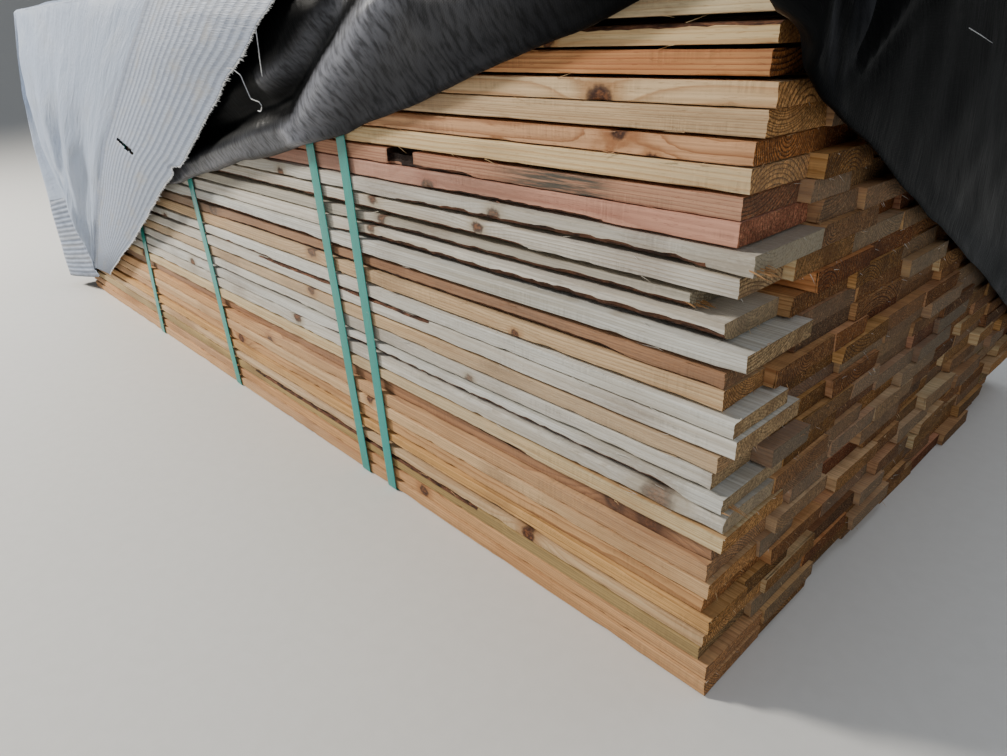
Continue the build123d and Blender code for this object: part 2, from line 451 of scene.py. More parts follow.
def bark_wane():
    """Wane: the log's rounded outside with dark, scaly inner bark left on the board's edge."""
    material, tree = new_material("bark_wane")
    place = add(tree, "TexCoord", out=3)
    scale = grain_of(tree, place, (38.0, 210.0, 210.0), 4.0, 0.65)
    colour = laid_over(tree, "#6B4632", "#24140D", scale, 0.35, 0.65, 0.0, 1.0)
    lighter = grain_of(tree, place, (110.0, 300.0, 300.0), 2.0)
    colour = laid_over(tree, colour, "#93664A", lighter, 0.55, 0.72, 0.0, 0.6)
    # The brown mark darkens it: brown stain, and in the notch painted shade
    marks = add(tree, "Attribute", out=1, attribute_name="marks")
    brown = add(tree, "SeparateXYZ", marks, out=1)
    colour = laid_over(tree, colour, "#1B0F0A", brown, 0.1, 0.5, 0.0, 0.9)
    bump = bumps(tree, 1.0, 2.2 * MM, scale)
    shade(tree, colour, bump, 0.9, IOR=1.5, Specular_IOR_Level=0.3)
    return material


def strap_plastic():
    """Polyester strapping, extruded and embossed: a smooth teal band with a fine waffle and scuffs."""
    material, tree = new_material("embossed_polyester_band")
    place = add(tree, "TexCoord", out=3)
    # Waffle of about 2.5 mm, coarser than the real one so that it shows
    mirrored = add(tree, "VectorMath", place, (-1.0, 1.0, 1.0), operation="MULTIPLY")
    waffle = crossed_waves(tree, 2.5 * MM, (place, "DIAGONAL"), (mirrored, "DIAGONAL"))
    scuff = grain_of(tree, place, (160.0, 40.0, 9.0), 3.0, 0.6)
    colour = laid_over(tree, "#02877C", "#38AFA2", scuff, 0.52, 0.7, 0.0, 0.3)
    fade = grain_of(tree, place, (4.0, 4.0, 3.0), 2.0)
    colour = laid_over(tree, colour, "#16A3A6", fade, 0.4, 0.7, 0.0, 0.3)
    bump = bumps(tree, 0.5, 0.25 * MM, waffle)
    roughness = add(tree, "MapRange", scuff, 0.4, 0.7, 0.3, 0.5, **SMOOTH)
    shade(tree, colour, bump, roughness, IOR=1.57, Specular_IOR_Level=0.5)
    return material


def wrap_outside():
    """White coated woven polyethylene: tapes under a thin film, crinkled and a little dusty, their white
    painted darker and bluer as sky-lit shade.
    """
    material, tree = new_material("woven_polyethylene_white")
    # On top of the bundle the crinkles follow the place, on its sides the height and the way round it
    cloth = add(tree, "Attribute", out=1, attribute_name="cloth")
    place = add(tree, "TexCoord", out=3)
    on_top = add(tree, "SeparateXYZ", place, out=2)
    on_top = add(tree, "Math", on_top, WRAP_HIGH.z - 6 * MM, operation="GREATER_THAN")
    cloth = add(tree, "Mix", on_top, out=1, data_type="VECTOR", named={4: cloth, 5: place})
    tapes = crossed_waves(tree, TAPE_SPACING, (cloth, "X"), (cloth, "Y"))
    crinkle = grain_of(tree, cloth, (46.0, 20.0, 1.0), 4.0, 0.6)
    fine = grain_of(tree, cloth, (240.0, 90.0, 1.0), 2.0, 0.5)
    broad = grain_of(tree, cloth, (13.0, 8.0, 1.0), 3.0, 0.55)
    dust = grain_of(tree, cloth, (5.0, 7.0, 1.0), 4.0, 0.6)
    # Painted shade: the base white is darker and bluer, as if lit by sky in shade
    colour = laid_over(tree, "#B0BED5", "#A0A6AE", dust, 0.45, 0.75, 0.0, 0.5)
    colour = laid_over(tree, colour, "#8B9AB5", tapes, 0.0, 1.0, 0.2, 0.0)
    bump = bumps(tree, 0.75, 1.8 * MM, fine, (crinkle, 3.2), (broad, 7.0), (tapes, 0.25))
    roughness = add(tree, "MapRange", dust, 0.3, 0.7, 0.36, 0.52, **SMOOTH)
    shade(tree, colour, bump, roughness, IOR=1.5, Specular_IOR_Level=0.45)
    return material


def wrap_border():
    """The wrap's thicker border: pale grey tapes laid in raised ribs along its edge, painted darker and
    bluer as sky-lit shade.
    """
    material, tree = new_material("ribbed_polyethylene_border")
    cloth = add(tree, "Attribute", out=1, attribute_name="cloth")
    rib = crossed_waves(tree, RIB_SPACING, (cloth, "Y"))
    cross = grain_of(tree, cloth, (330.0, 60.0, 1.0), 2.0, 0.6)
    dirt = grain_of(tree, cloth, (9.0, 26.0, 1.0), 4.0, 0.65)
    stitch = crossed_waves(tree, STITCH_SPACING, (cloth, "X"))
    # Painted shade: darker in the grooves between the ribs and lighter on their crests
    colour = laid_over(tree, "#7B869B", "#A9B4C8", rib, 0.0, 0.8, 0.0, 1.0)
    colour = laid_over(tree, colour, "#828EA4", stitch, 0.0, 0.4, 0.35, 0.0)
    colour = shaded_by(tree, colour, cross, 0.3, 0.7, 0.78, 1.08)
    colour = laid_over(tree, colour, "#A9A498", dirt, 0.5, 0.75, 0.0, 0.5)
    bump = bumps(tree, 0.9, 2.4 * MM, rib, (cross, 0.5))
    shade(tree, colour, bump, 0.5, IOR=1.5, Specular_IOR_Level=0.4)
    return material


def wrap_inside():
    """The wrap's black inside: the same tapes with a black film, finely crinkled, with a soft sheen."""
    material, tree = new_material("woven_polyethylene_black")
    cloth = add(tree, "Attribute", out=1, attribute_name="cloth")
    tapes = crossed_waves(tree, TAPE_SPACING, (cloth, "X"), (cloth, "Y"))
    turned = add(tree, "Mapping", cloth, None, (0.0, 0.0, math.radians(-22)))
    crinkle = grain_of(tree, turned, (150.0, 34.0, 1.0), 3.0, 0.55)
    broad = grain_of(tree, turned, (26.0, 13.0, 1.0), 3.0, 0.5)
    dust = grain_of(tree, cloth, (6.0, 10.0, 1.0), 4.0, 0.7)
    colour = laid_over(tree, "#070809", "#17181A", dust, 0.5, 0.8, 0.0, 0.4)
    # Painted highlights: along given crest lines the crinkles are painted as pale streaks, standing in for
    # sheen
    scuff = add(tree, "Attribute", out=1, attribute_name="scuff")
    painted_light = add(tree, "SeparateXYZ", scuff)
    painted_shade = painted_light.node.outputs[1]
    colour = laid_over(tree, colour, "#8B8D96", crinkle, 0.3, 0.62, 0.35, 1.0, painted_light)
    bump = bumps(tree, 0.6, 1.0 * MM, crinkle, (broad, 1.8), (tapes, 0.18))
    # Painted shade: in the hollow between two folds, low by the fold, on the open end and on top the
    # reflection is lowered so the film looks darker
    gloss = add(tree, "MapRange", painted_shade, 0.0, 1.0, 0.085, 0.01, **SMOOTH)
    roughness = add(tree, "MapRange", dust, 0.3, 0.7, 0.28, 0.38, **SMOOTH)
    shade(tree, colour, bump, roughness, IOR=1.5, Specular_IOR_Level=gloss)
    return material


def frayed_tape():
    """Loose polyethylene tapes and threads: thin, white and a little translucent looking."""
    material, tree = new_material("frayed_polyethylene_tape")
    place = add(tree, "TexCoord", out=3)
    streak = grain_of(tree, place, (300.0, 300.0, 300.0), 2.0)
    colour = laid_over(tree, "#E6E8EA", "#B4B7B8", streak, 0.4, 0.7, 0.0, 0.6)
    shade(tree, colour, None, 0.45, IOR=1.5)
    return material


def plain_floor():
    """Pale matt studio floor with a barely visible grain."""
    material, tree = new_material("pale_studio_floor")
    place = add(tree, "TexCoord", out=3)
    grain = grain_of(tree, place, (40.0, 40.0, 40.0), 3.0)
    colour = laid_over(tree, "#D9D8D5", "#CFCECA", grain, 0.3, 0.7, 0.0, 0.25)
    shade(tree, colour, None, 0.8)
    return material


# Boards

# Sawn faces and ends of each kind of board: earlywood and latewood along the grain, then on the end
WOODS = {
    "cream": ("#DDC69A", "#B98650", "#B4834C", "#6A4220"),
    "pale": ("#D8B88E", "#A5764A", "#AD7D49", "#684321"),
    "white": ("#D5D3CB", "#A99C86", "#A0855F", "#644A30"),
    "tan": ("#CC9E6C", "#946038", "#A06C3C", "#583417"),
    "pink": ("#C99675", "#985C44", "#8A4E2A", "#482412"),
    "rose": ("#C59079", "#965A48", "#9A6248", "#583020"),
    "flesh": ("#CFA077", "#98633B", "#98602F", "#523014"),
    "orange": ("#D49963", "#A05A2E", "#935828", "#4B2810"),
    "amber": ("#D0A268", "#9A672C", "#986832", "#533516"),
    "brown": ("#A0734F", "#6B452D", "#7B5230", "#422815"),
    "olive": ("#B0945F", "#7B6238", "#8A6A40", "#4E371E"),
    "grey": ("#C0B9A9", "#948A78", "#A89D85", "#6E6350"),
}
INNER_WOODS = [
    "cream", "tan", "tan", "orange", "brown", "pale", "pink", "amber", "flesh", "tan", "amber", "pale",
]

# The long side's boards from the floor up: kind of wood, pith away from the face and above the board in mm,
# ring spacing in mm, how far the rings wander in mm, share of ring contrast, share of weathered grey
FACE_LOOKS = [
    ("tan", 60, 40, 3.2, 9, 0.7, 0.15), ("tan", 20, 110, 3.6, 8, 0.8, 0.1),
    ("olive", 15, -120, 4.2, 6, 1.0, 0.1), ("pale", 70, 20, 3.4, 10, 0.6, 0.0),
    ("amber", 30, 90, 3.0, 8, 0.8, 0.0), ("tan", 80, -20, 3.4, 11, 0.8, 0.0),
    ("pale", 25, 120, 3.0, 8, 0.6, 0.1), ("tan", 15, -90, 3.0, 8, 0.9, 0.0),
    ("brown", 70, 30, 4.0, 14, 0.7, 0.15), ("cream", 20, 100, 3.2, 8, 0.7, 0.0),
    ("white", 60, -40, 4.0, 16, 0.5, 0.3), ("white", 20, 80, 3.4, 10, 0.5, 0.2),
    ("white", 30, -110, 3.4, 10, 0.4, 0.15), ("pale", 20, 90, 3.2, 8, 0.6, 0.3),
    ("white", 70, 30, 4.4, 16, 0.4, 0.1), ("white", 25, -100, 3.8, 10, 0.4, 0.1),
    ("pale", 60, 40, 2.8, 12, 0.7, 0.1), ("brown", 50, -60, 2.4, 10, 0.5, 0.35),
    ("white", 12, 95, 3.6, 14, 0.7, 0.0), ("white", 60, 30, 3.6, 12, 0.5, 0.25),
    # Layer 21 gets grey wood with much weathered grey, as painted shade under the board above
    ("grey", 40, 70, 3.4, 12, 0.5, 0.4), ("white", 12, -105, 4.2, 6, 0.9, 0.1),
    ("white", 40, 60, 4.0, 12, 0.5, 0.2), ("rose", 75, 10, 4.4, 14, 0.35, 0.0),
    ("pink", 14, 95, 4.0, 8, 0.8, 0.0), ("cream", 45, -60, 4.6, 12, 0.6, 0.0),
    ("flesh", 60, 14, 3.6, 6, 1.0, 0.0), ("pale", 30, 85, 2.6, 6, 0.6, 0.0),
    ("pale", 60, -30, 6.0, 4, 0.8, 0.0), ("orange", 12, 115, 4.8, 5, 0.9, 0.0),
    ("cream", 50, -60, 4.0, 16, 0.45, 0.0), ("cream", 60, 50, 3.6, 14, 0.5, 0.0),
    ("tan", 40, 70, 3.4, 12, 0.6, 0.0), ("pale", 40, -70, 3.4, 12, 0.6, 0.0),
    ("cream", 40, 70, 3.4, 12, 0.6, 0.0),
]
# Knots that show on the long side: layer from the floor, distance, height in the board as a share, radius
FACE_KNOTS = [
    (29, 186, 0.1, 11), (27, 160, 1.0, 8), (27, 118, -0.1, 5), (11, 84, 0.35, 15), (9, 150, 0.6, 11),
    (9, 96, 0.4, 12), (4, 300, 0.5, 9), (23, 905, 0.2, 7), (18, 1256, 0.7, 12), (21, 1480, 0.1, 9),
    (14, 860, 0.8, 7), (16, 1560, 0.1, 8), (12, 1445, 0.28, 9), (7, 700, 0.9, 7), (11, 934, 0.8, 9),
    (20, 640, 0.9, 7), (6, 1240, 0.5, 9), (13, 420, 0.1, 6), (2, 560, 0.5, 8), (24, 486, 0.05, 9),
    (30, 520, 0.6, 5), (31, 260, 0.2, 5), (17, 839, 0.8, 9), (8, 1080, 0.1, 8), (10, 1800, 0.5, 9),
    (22, 625, 0.85, 8), (22, 385, 0.5, 7), (23, 350, 0.35, 8), (17, 320, 0.1, 5), (21, 611, 0.75, 7),
]
# Wane on the long side's boards: layer, edge of the face, depth in mm, distances where it begins and ends,
# whether bark is left on it
# The bark on the bottom wane of layers 18, 21 and 24 is partly painted shade: it darkens the gaps there
FACE_WANE = [
    (11, "top", 10, -40, 700, False), (12, "bottom", 11, 60, 900, True),
    (20, "bottom", 13, -40, 820, True), (23, "bottom", 11, 60, 640, True),
    (9, "top", 6, 150, 560, True), (31, "top", 5, -40, 900, True), (21, "bottom", 9, -40, 800, True),
    (22, "bottom", 5, 300, 1500, True), (18, "bottom", 6, 150, 1300, True),
    (13, "bottom", 5, 900, 1700, True), (24, "top", 5, 1300, 1900, False),
    (5, "bottom", 5, 260, 900, True), (3, "top", 5, 420, 1300, True), (25, "bottom", 7, 395, 640, True),
    (24, "bottom", 5, 180, 620, True), (19, "bottom", 5, 820, 1500, True),
    (15, "top", 4, 500, 1200, True), (10, "bottom", 5, 300, 1000, True),
    (16, "bottom", 4, 1000, 1900, True), (7, "top", 4, 300, 900, False),
]
# Stains on the long side's boards: layer, distances in mm, which mark (0 mildew, 1 brown, 2 grey), strength
STAINS = [
    (25, 150, 390, 0, 1.0), (13, 300, 900, 2, 0.5), (22, 60, 240, 1, 0.3), (23, 60, 420, 2, 0.35),
    (12, 20, 260, 2, 0.8), (11, 20, 330, 2, 0.5), (20, -30, 60, 1, 0.6), (9, 40, 210, 1, 0.7),
    (23, -90, 130, 2, 0.9),
]
# The broken-out notch: layer, distances where it begins and ends, height and depth
NOTCH_LAYER = 25
NOTCH = (513 * MM, 574 * MM)
NOTCH_HEIGHT = 13 * MM
NOTCH_DEPTH = 20 * MM
# How far the saw tears an edge at a knot, as a share of the knot's radius
TORN_AT_KNOTS = 0.5
# How deep wane and chips run behind the face for their height on it
WANE_RATIO = 1.9
CHIP_RATIO = 0.8
# How deep behind the face a board of the long side is finely divided
SKIN_DEPTH = 34 * MM
NOWHERE = (9.0, 9.0, 9.0, 0.001)
SIDE, END, BARK = 0, 1, 2
FACE_STEP = 8.5 * MM
ARRIS = 0.9 * MM
END_STEPS = [0.0, 1.6 * MM, 4 * MM, 9 * MM, 18 * MM, 34 * MM, 60 * MM, 120 * MM]
INNER_MIDDLE = 5
# Ends of the boards along the long side catch more light than those further in
FACE_END_LIGHT = 1.3
INNER_END_LIGHT = 0.72
# The inner boards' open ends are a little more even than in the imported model
END_EVENNESS = 0.65
OPEN_BACK_LAYERS = 4


def boards_of(node):
    """Lowest and highest corner of each board in a layer, from the long side inwards."""
    work = bmesh.new()
    work.from_mesh(frame["nodes"][node].data)
    bmesh.ops.remove_doubles(work, verts=work.verts, dist=0.01 * MM)
    left = set(work.verts)
    found = []
    while left:
        island = [left.pop()]
        for vertex in island:
            for edge in vertex.link_edges:
                other = edge.other_vert(vertex)
                if other in left:
                    left.remove(other)
                    island.append(other)
        corners = np.array([vertex.co for vertex in island])
        found.append((corners.min(0), corners.max(0)))
    work.free()
    return sorted(found, key=lambda box: box[0][1])


def chipped(distance, dice, per_metre, deepest, longest):
    """How far chips eat into an edge at each distance along it."""
    eaten = np.zeros(len(distance))
    span = distance.max() - distance.min()
    for _ in range(int(per_metre * span)):
        middle = distance.min() + dice.random() * span
        half = dice.uniform(4 * MM, longest)
        deep = deepest * dice.random() ** 2.2
        shape = np.clip(1 - np.abs(distance - middle) / half, 0, 1) ** 0.7
        eaten = np.maximum(eaten, deep * shape)
    return eaten


def wane_on(layer, edge, distance):
    """Depth of wane on one edge of a face board at each distance, and where bark is left."""
    deep = np.zeros(len(distance))
    bark = np.zeros(len(distance), bool)
    for number, which, depth, begin, end, barked in FACE_WANE:
        if (number, which) != (layer, edge):
            continue
        inside = smooth_step(begin * MM - 0.03, begin * MM + 0.03, distance)
        inside *= 1 - smooth_step(end * MM - 0.25, end * MM, distance)
        uneven = 0.8 + 0.2 * rough(distance, 190 * MM, layer * 7 + 3)
        uneven += 0.14 * noise(distance, 12 * MM, layer + depth)
        deep = np.maximum(deep, depth * MM * inside * np.clip(uneven, 0.3, 1.0))
        bark |= barked & (deep > 1.6 * MM)
    return deep, bark


def looks_of(kind, dice, pith, spacing, wander, contrast, knots, end_light=1.0):
    """The values that the wood materials read, the same over one whole board."""
    shades = [np.array(hex_to_linear(code)) for code in WOODS[kind]]
    lighter = dice.uniform(0.9, 1.08)
    warmer = dice.uniform(-0.035, 0.035)
    shift = np.array([1 + warmer, 1.0, 1 - warmer]) * lighter
    shades = [shade_of * shift * light for shade_of, light in zip(shades, (1.0, 1.0, end_light, end_light))]
    shades = [np.append(np.clip(shade_of, 0, 1), 1.0) for shade_of in shades]
    knots = (knots + [NOWHERE, NOWHERE])[:2]
    return {
        "pith": (dice.uniform(-40, 40), pith[0], pith[1]),
        "grain": (spacing, wander, contrast),
        "side_early": shades[0],
        "side_late": shades[1],
        "end_early": shades[2],
        "end_late": shades[3],
        "knot_a": knots[0],
        "knot_b": knots[1],
    }


def ring_patch(
    gathered, stations, section, bark_top, bark_bottom, marks, looks, dice, lean, top_spans, bottom_spans
):
    """Adds a board: a section swept along its stations, with a slightly sunk, saw-cut cap at each end."""
    count, size = len(stations), section.shape[1]
    points = np.empty((count, size, 3))
    points[:, :, 0] = stations[:, None]
    points[:, :, 1:] = section
    middle = section.mean(axis=(0, 1))
    for place, way in ((0, -1), (count - 1, 1)):
        ragged = np.array([dice.uniform(-0.5, 0.5) for _ in range(size)]) * MM
        tilt = lean[0] * (section[place, :, 0] - middle[0]) + lean[1] * (section[place, :, 1] - middle[1])
        points[place, :, 0] += ragged - way * np.abs(tilt)
        inner = 0.35 * (points[place, :, 0] - stations[place]) + points[place, :, 0]
        if way > 0:
            points[place - 1, :, 0] = np.minimum(points[place - 1, :, 0], inner - 1.2 * MM)
        else:
            points[place + 1, :, 0] = np.maximum(points[place + 1, :, 0], inner + 1.2 * MM)
    faces = grid_faces(count, size, closed=True)
    slots = np.zeros((count - 1, size), int)
    for spans, bark in ((top_spans, bark_top), (bottom_spans, bark_bottom)):
        for span in spans:
            slots[:, span] = np.where(bark[:-1] & bark[1:], BARK, SIDE)
    caps, cap_faces, cap_slots = [], [], []
    start = count * size
    for place, way in ((0, -1), (count - 1, 1)):
        ring = points[place]
        centre = ring.mean(axis=0)
        shrink = 1 - 1.1 * MM / np.maximum(np.linalg.norm(ring[:, 1:] - centre[1:], axis=1), 4 * MM)
        inset = centre + (ring - centre) * shrink[:, None]
        inset[:, 0] = ring[:, 0] + way * 0.35 * MM
        first = start + len(caps) * size
        caps.append(inset)
        for j in range(size):
            k = (j + 1) % size
            quad = (place * size + j, place * size + k, first + k, first + j)
            cap_faces.append(quad if way > 0 else quad[::-1])
            cap_slots.append(END)
        ngon = list(range(first, first + size))
        cap_faces.append(ngon if way > 0 else ngon[::-1])
        cap_slots.append(END)
    all_points = np.concatenate([points.reshape(-1, 3), *caps])
    mark_rows = np.repeat(np.concatenate([marks, marks[[0, -1]]]), size, axis=0)
    # The sweep's faces run the other way round than the caps', so they are turned to face outwards
    gathered.take(
        all_points,
        [face[::-1] for face in faces] + cap_faces,
        list(slots.ravel()) + cap_slots,
        marks=mark_rows,
        **looks,
    )


def cut_notch(section, distance, low, high):
    """Cuts the notch into a board's section, and gives where wood is gone and where its inside is darkened
    as painted shade.
    """
    gone = (distance > NOTCH[0]) & (distance < NOTCH[1])
    floor_of_notch = high[2] - NOTCH_HEIGHT + 1.6 * MM * noise(distance, 7 * MM, 5)
    for point, depth in ((6, 0.0), (7, NOTCH_DEPTH / 2), (8, NOTCH_DEPTH)):
        section[gone, point, 0] = low[1] + depth
        section[gone, point, 1] = floor_of_notch[gone] - 2 * MM * (point == 6)
    section[gone, 9, 0] = low[1] + NOTCH_DEPTH + 1 * MM
    section[gone, :7, 0] = low[1] + (7 + 2 * noise(distance[gone], 6 * MM, 9))[:, None] * MM
    # Painted shade over the notch's distances
    painted_notch_shade = smooth_step(NOTCH[0] - 4 * MM, NOTCH[0], distance)
    painted_notch_shade *= 1 - smooth_step(NOTCH[1], NOTCH[1] + 4 * MM, distance)
    return gone, painted_notch_shade


def face_marks(layer, distance, grey, painted_notch_shade, mirrored):
    """Mildew, brown stain and grey of a board of the long side, at each distance, with the notch's inside
    darkened as painted shade.
    """
    marks = np.zeros((len(distance), 3))
    marks[:, 2] = grey * (0.7 + 0.6 * noise(distance, 300 * MM, layer * 31))
    marks[:, 2] += 0.25 * smooth_step(0.1, 0.9, noise(distance, 500 * MM, layer * 37))
    # Painted shade: the notch's inside is darkened with the brown mark
    marks[:, 1] = 0.5 * painted_notch_shade
    if not mirrored:
        for number, begin, end, part, strength in STAINS:
            if number == layer:
                inside = smooth_step(begin * MM, begin * MM + 0.05, distance)
                inside *= 1 - smooth_step(end * MM - 0.12, end * MM, distance)
                marks[:, part] = np.maximum(marks[:, part], inside * strength)
    brown = smooth_step(0.35, 0.95, noise(distance, 120 * MM, layer * 41))
    marks[:, 1] = np.maximum(marks[:, 1], 0.35 * brown)
    return marks


def face_board(gathered, layer, low, high, mirrored=False):
    """A board of the long side, finely divided, with its wane, chips, knots and stains."""
    dice = random.Random(f"face {layer} {mirrored}")
    kind, deep, above, spacing, wander, contrast, grey = FACE_LOOKS[(layer - 1) % len(FACE_LOOKS)]
    steps = int((high[0] - low[0]) / FACE_STEP)
    stations = np.linspace(low[0], high[0], steps)
    near = np.array(END_STEPS[1:5])
    stations = np.unique(np.concatenate([stations, high[0] - near, low[0] + near]))
    notched = layer == NOTCH_LAYER and not mirrored
    own_knots = [] if mirrored else [row[1:] for row in FACE_KNOTS if row[0] == layer]
    if notched:
        edges = [OPEN_END - place + shift for place in NOTCH for shift in (-0.4 * MM, 0.4 * MM)]
        stations = np.unique(np.concatenate([stations, edges]))
    distance = OPEN_END - stations
    wane_top, bark_top = wane_on(layer, "top", distance)
    wane_bottom, bark_bottom = wane_on(layer, "bottom", distance)
    if mirrored:
        wane_top, wane_bottom = wane_top * 0, wane_bottom * 0
        bark_top, bark_bottom = bark_top & False, bark_bottom & False

    def worn(seed, *chips):
        """How far one edge is worn and chipped."""
        return ARRIS * (1 + 0.5 * noise(distance, 12 * MM, seed)) + chipped(distance, dice, *chips)

    def sway(size, cell, seed):
        """A slow change along the board, from 0 to twice a size in mm, with features one cell long."""
        return size * MM * (1 + noise(distance, cell * MM, seed))

    cut_top = worn(layer * 5, 18, 3.8 * MM, 34 * MM)
    cut_bottom = worn(layer * 5 + 2, 22, 4.6 * MM, 40 * MM)
    # Where a knot lies at an edge, the saw has torn it out
    for away, share, size in own_knots:
        torn = np.clip(1.4 - np.abs(distance - away * MM) / (size * MM), 0, 1) * size * MM * TORN_AT_KNOTS
        torn = torn * (0.7 + 0.5 * noise(distance, 5 * MM, away))
        if share > 0.6:
            cut_top = np.maximum(cut_top, torn)
        elif share < 0.35:
            cut_bottom = np.maximum(cut_bottom, torn)
    ratio_top = np.where(wane_top > cut_top, WANE_RATIO, CHIP_RATIO)
    ratio_bottom = np.where(wane_bottom > cut_bottom, WANE_RATIO, CHIP_RATIO)
    cut_top = np.maximum(cut_top, wane_top)
    cut_bottom = np.maximum(cut_bottom, wane_bottom)
    # A gap that opens and closes between the boards, and a face that bows in and out a little
    top = high[2] - sway(0.9, 330, layer * 11) - sway(0.25, 28, layer * 3)
    bottom = low[2] + sway(0.35, 260, layer * 13)
    front = low[1] + sway(1.1, 700, layer * 19) + sway(0.12, 20, layer)
    back = np.full(len(stations), high[1])
    high_face = top - cut_top
    low_face = bottom + cut_bottom
    span = high_face - low_face
    # Each point of the section: its depth behind the front and its height
    section = [
        (front + cut_bottom * ratio_bottom, bottom),
        (front + 0.33 * cut_bottom * ratio_bottom, bottom + 0.33 * cut_bottom),
        (front, low_face),
        (front + sway(0.15, 11, layer + 40), low_face + 0.27 * span),
        (front + sway(0.15, 9, layer + 80), low_face + 0.5 * span),
        (front + sway(0.15, 13, layer + 120), low_face + 0.73 * span),
        (front, high_face),
        (front + 0.33 * cut_top * ratio_top, top - 0.33 * cut_top),
        (front + cut_top * ratio_top, top),
        (front + SKIN_DEPTH, top),
        (back - ARRIS, top),
        (back, top - ARRIS),
        (back, bottom + ARRIS),
        (back - ARRIS, bottom),
        (front + SKIN_DEPTH, bottom),
    ]
    section = np.array(section).transpose(2, 0, 1).copy()
    painted_notch_shade = np.zeros(len(stations))
    if notched:
        gone, painted_notch_shade = cut_notch(section, distance, low, high)
    if mirrored:
        section[:, :, 0] = low[1] + high[1] - section[:, :, 0]
        section = section[:, ::-1]
    marks = face_marks(layer, distance, grey, painted_notch_shade, mirrored)
    knots = [
        (OPEN_END - away * MM, low[1], low[2] + share * (high[2] - low[2]), size * MM)
        for away, share, size in own_knots
    ]
    pith = (low[1] + deep * MM, (low[2] + high[2]) / 2 + above * MM)
    looks = looks_of(kind, dice, pith, spacing * MM, wander * MM, contrast, knots, FACE_END_LIGHT)
    lean = (dice.uniform(-0.02, 0.02), dice.uniform(-0.08, 0.08))
    spans = ((6, 7), (0, 1)) if not mirrored else ((), ())
    if notched:
        # Painted shade: the notch's inside takes the dark bark finish
        bark_top = bark_top | gone | np.roll(gone, 1) | np.roll(gone, -1)
        spans = ((2, 3, 4, 5, 6, 7, 8), (0, 1))
    ring_patch(gathered, stations, section, bark_top, bark_bottom, marks, looks, dice, lean, *spans)


def inner_board(gathered, layer, place, low, high):
    """A board inside the bundle, divided only towards its ends."""
    dice = random.Random(f"inner {layer} {place}")
    high = high.copy()
    high[0] = OPEN_END + (high[0] - OPEN_END) * END_EVENNESS
    steps = np.array(END_STEPS)
    middle = np.linspace(low[0] + 0.25, high[0] - 0.25, INNER_MIDDLE)
    stations = np.concatenate([low[0] + steps, middle, high[0] - steps[::-1]])
    count = len(stations)
    cuts = []
    for edge in range(4):
        worn = ARRIS * (1.1 + 0.7 * noise(stations, 9 * MM, layer * 53 + place * 7 + edge))
        cuts.append(worn + chipped(stations, dice, 3, 4 * MM, 30 * MM))
    drop = 0.8 * MM * dice.random()
    front, back, bottom, top = low[1], high[1], low[2], high[2] - drop
    section = [
        (front + cuts[0], np.full(count, bottom)),
        (np.full(count, front), bottom + cuts[0]),
        (np.full(count, front), top - cuts[1]),
        (front + cuts[1], np.full(count, top)),
        (back - cuts[2], np.full(count, top)),
        (np.full(count, back), top - cuts[2]),
        (np.full(count, back), bottom + cuts[3]),
        (back - cuts[3], np.full(count, bottom)),
    ]
    section = np.array(section).transpose(2, 0, 1)
    turn = dice.uniform(0, 2 * math.pi)
    far = dice.uniform(8, 120) * MM
    pith = ((front + back) / 2 + far * math.cos(turn), (bottom + top) / 2 + far * math.sin(turn))
    kind = dice.choice(INNER_WOODS)
    looks = looks_of(
        kind, dice, pith, dice.uniform(2.4, 4.6) * MM, 12 * MM, dice.uniform(0.5, 1.0), [], INNER_END_LIGHT
    )
    marks = np.zeros((count, 3))
    marks[:, 2] = dice.choice([0.0, 0.0, 0.0, 0.1, 0.25, 0.4])
    lean = (dice.uniform(-0.035, 0.035), dice.uniform(-0.1, 0.1))
    never = np.zeros(count, bool)
    ring_patch(gathered, stations, section, never, never, marks, looks, dice, lean, (), ())


def dress_layer(node, materials):
    """One piece for one layer of boards."""
    layer = int(node.rsplit("_", 1)[1])
    gathered = Gathered()
    boards = boards_of(node)
    for place, (low, high) in enumerate(boards):
        if place == 0:
            face_board(gathered, layer, low, high)
        elif place == len(boards) - 1 and layer <= OPEN_BACK_LAYERS:
            face_board(gathered, layer, low, high, mirrored=True)
        else:
            inner_board(gathered, layer, place, low, high)
    piece = gathered.become(f"sawn_{node}", materials)
    return settle(piece, "sawn_softwood", node)


def sliver(gathered, root, along, width, bend, looks):
    """A thin splinter: a three-sided needle with one bend."""
    root, along, bend = Vector(root), Vector(along), Vector(bend)
    side = along.cross(Vector((0.3, 0.2, 1.0))).normalized() * width
    other = along.cross(side).normalized() * width * 0.7
    rings = []
    for share, size in ((0.0, 1.0), (0.55, 0.7)):
        middle = root + along * share + bend * share * share
        foot = middle - side * size * 0.5
        rings += [middle + side * size, foot + other * size, foot - other * size]
    tip = root + along + bend
    if tip.z < 3 * MM:
        return
    faces = [(0, 1, 4, 3), (1, 2, 5, 4), (2, 0, 3, 5), (3, 4, 6), (4, 5, 6), (5, 3, 6), (2, 1, 0)]
    gathered.take([*rings, tip], faces, 0, marks=(0.0, 0.0, 0.0), **looks)


# Splinters at the open ends: kinds of wood, and their ring spacing, wander, contrast and knots
FUZZ_WOODS = ["cream", "pale", "tan", "white"]
FUZZ_RINGS = (4 * MM, 5 * MM, 0.3, [])
# Boards whose open end is torn: layer, depth of the torn part in mm, how many splinters stand out of it
TORN_ENDS = ((23, 12, 12), (21, 14, 10), (12, 10, 5))


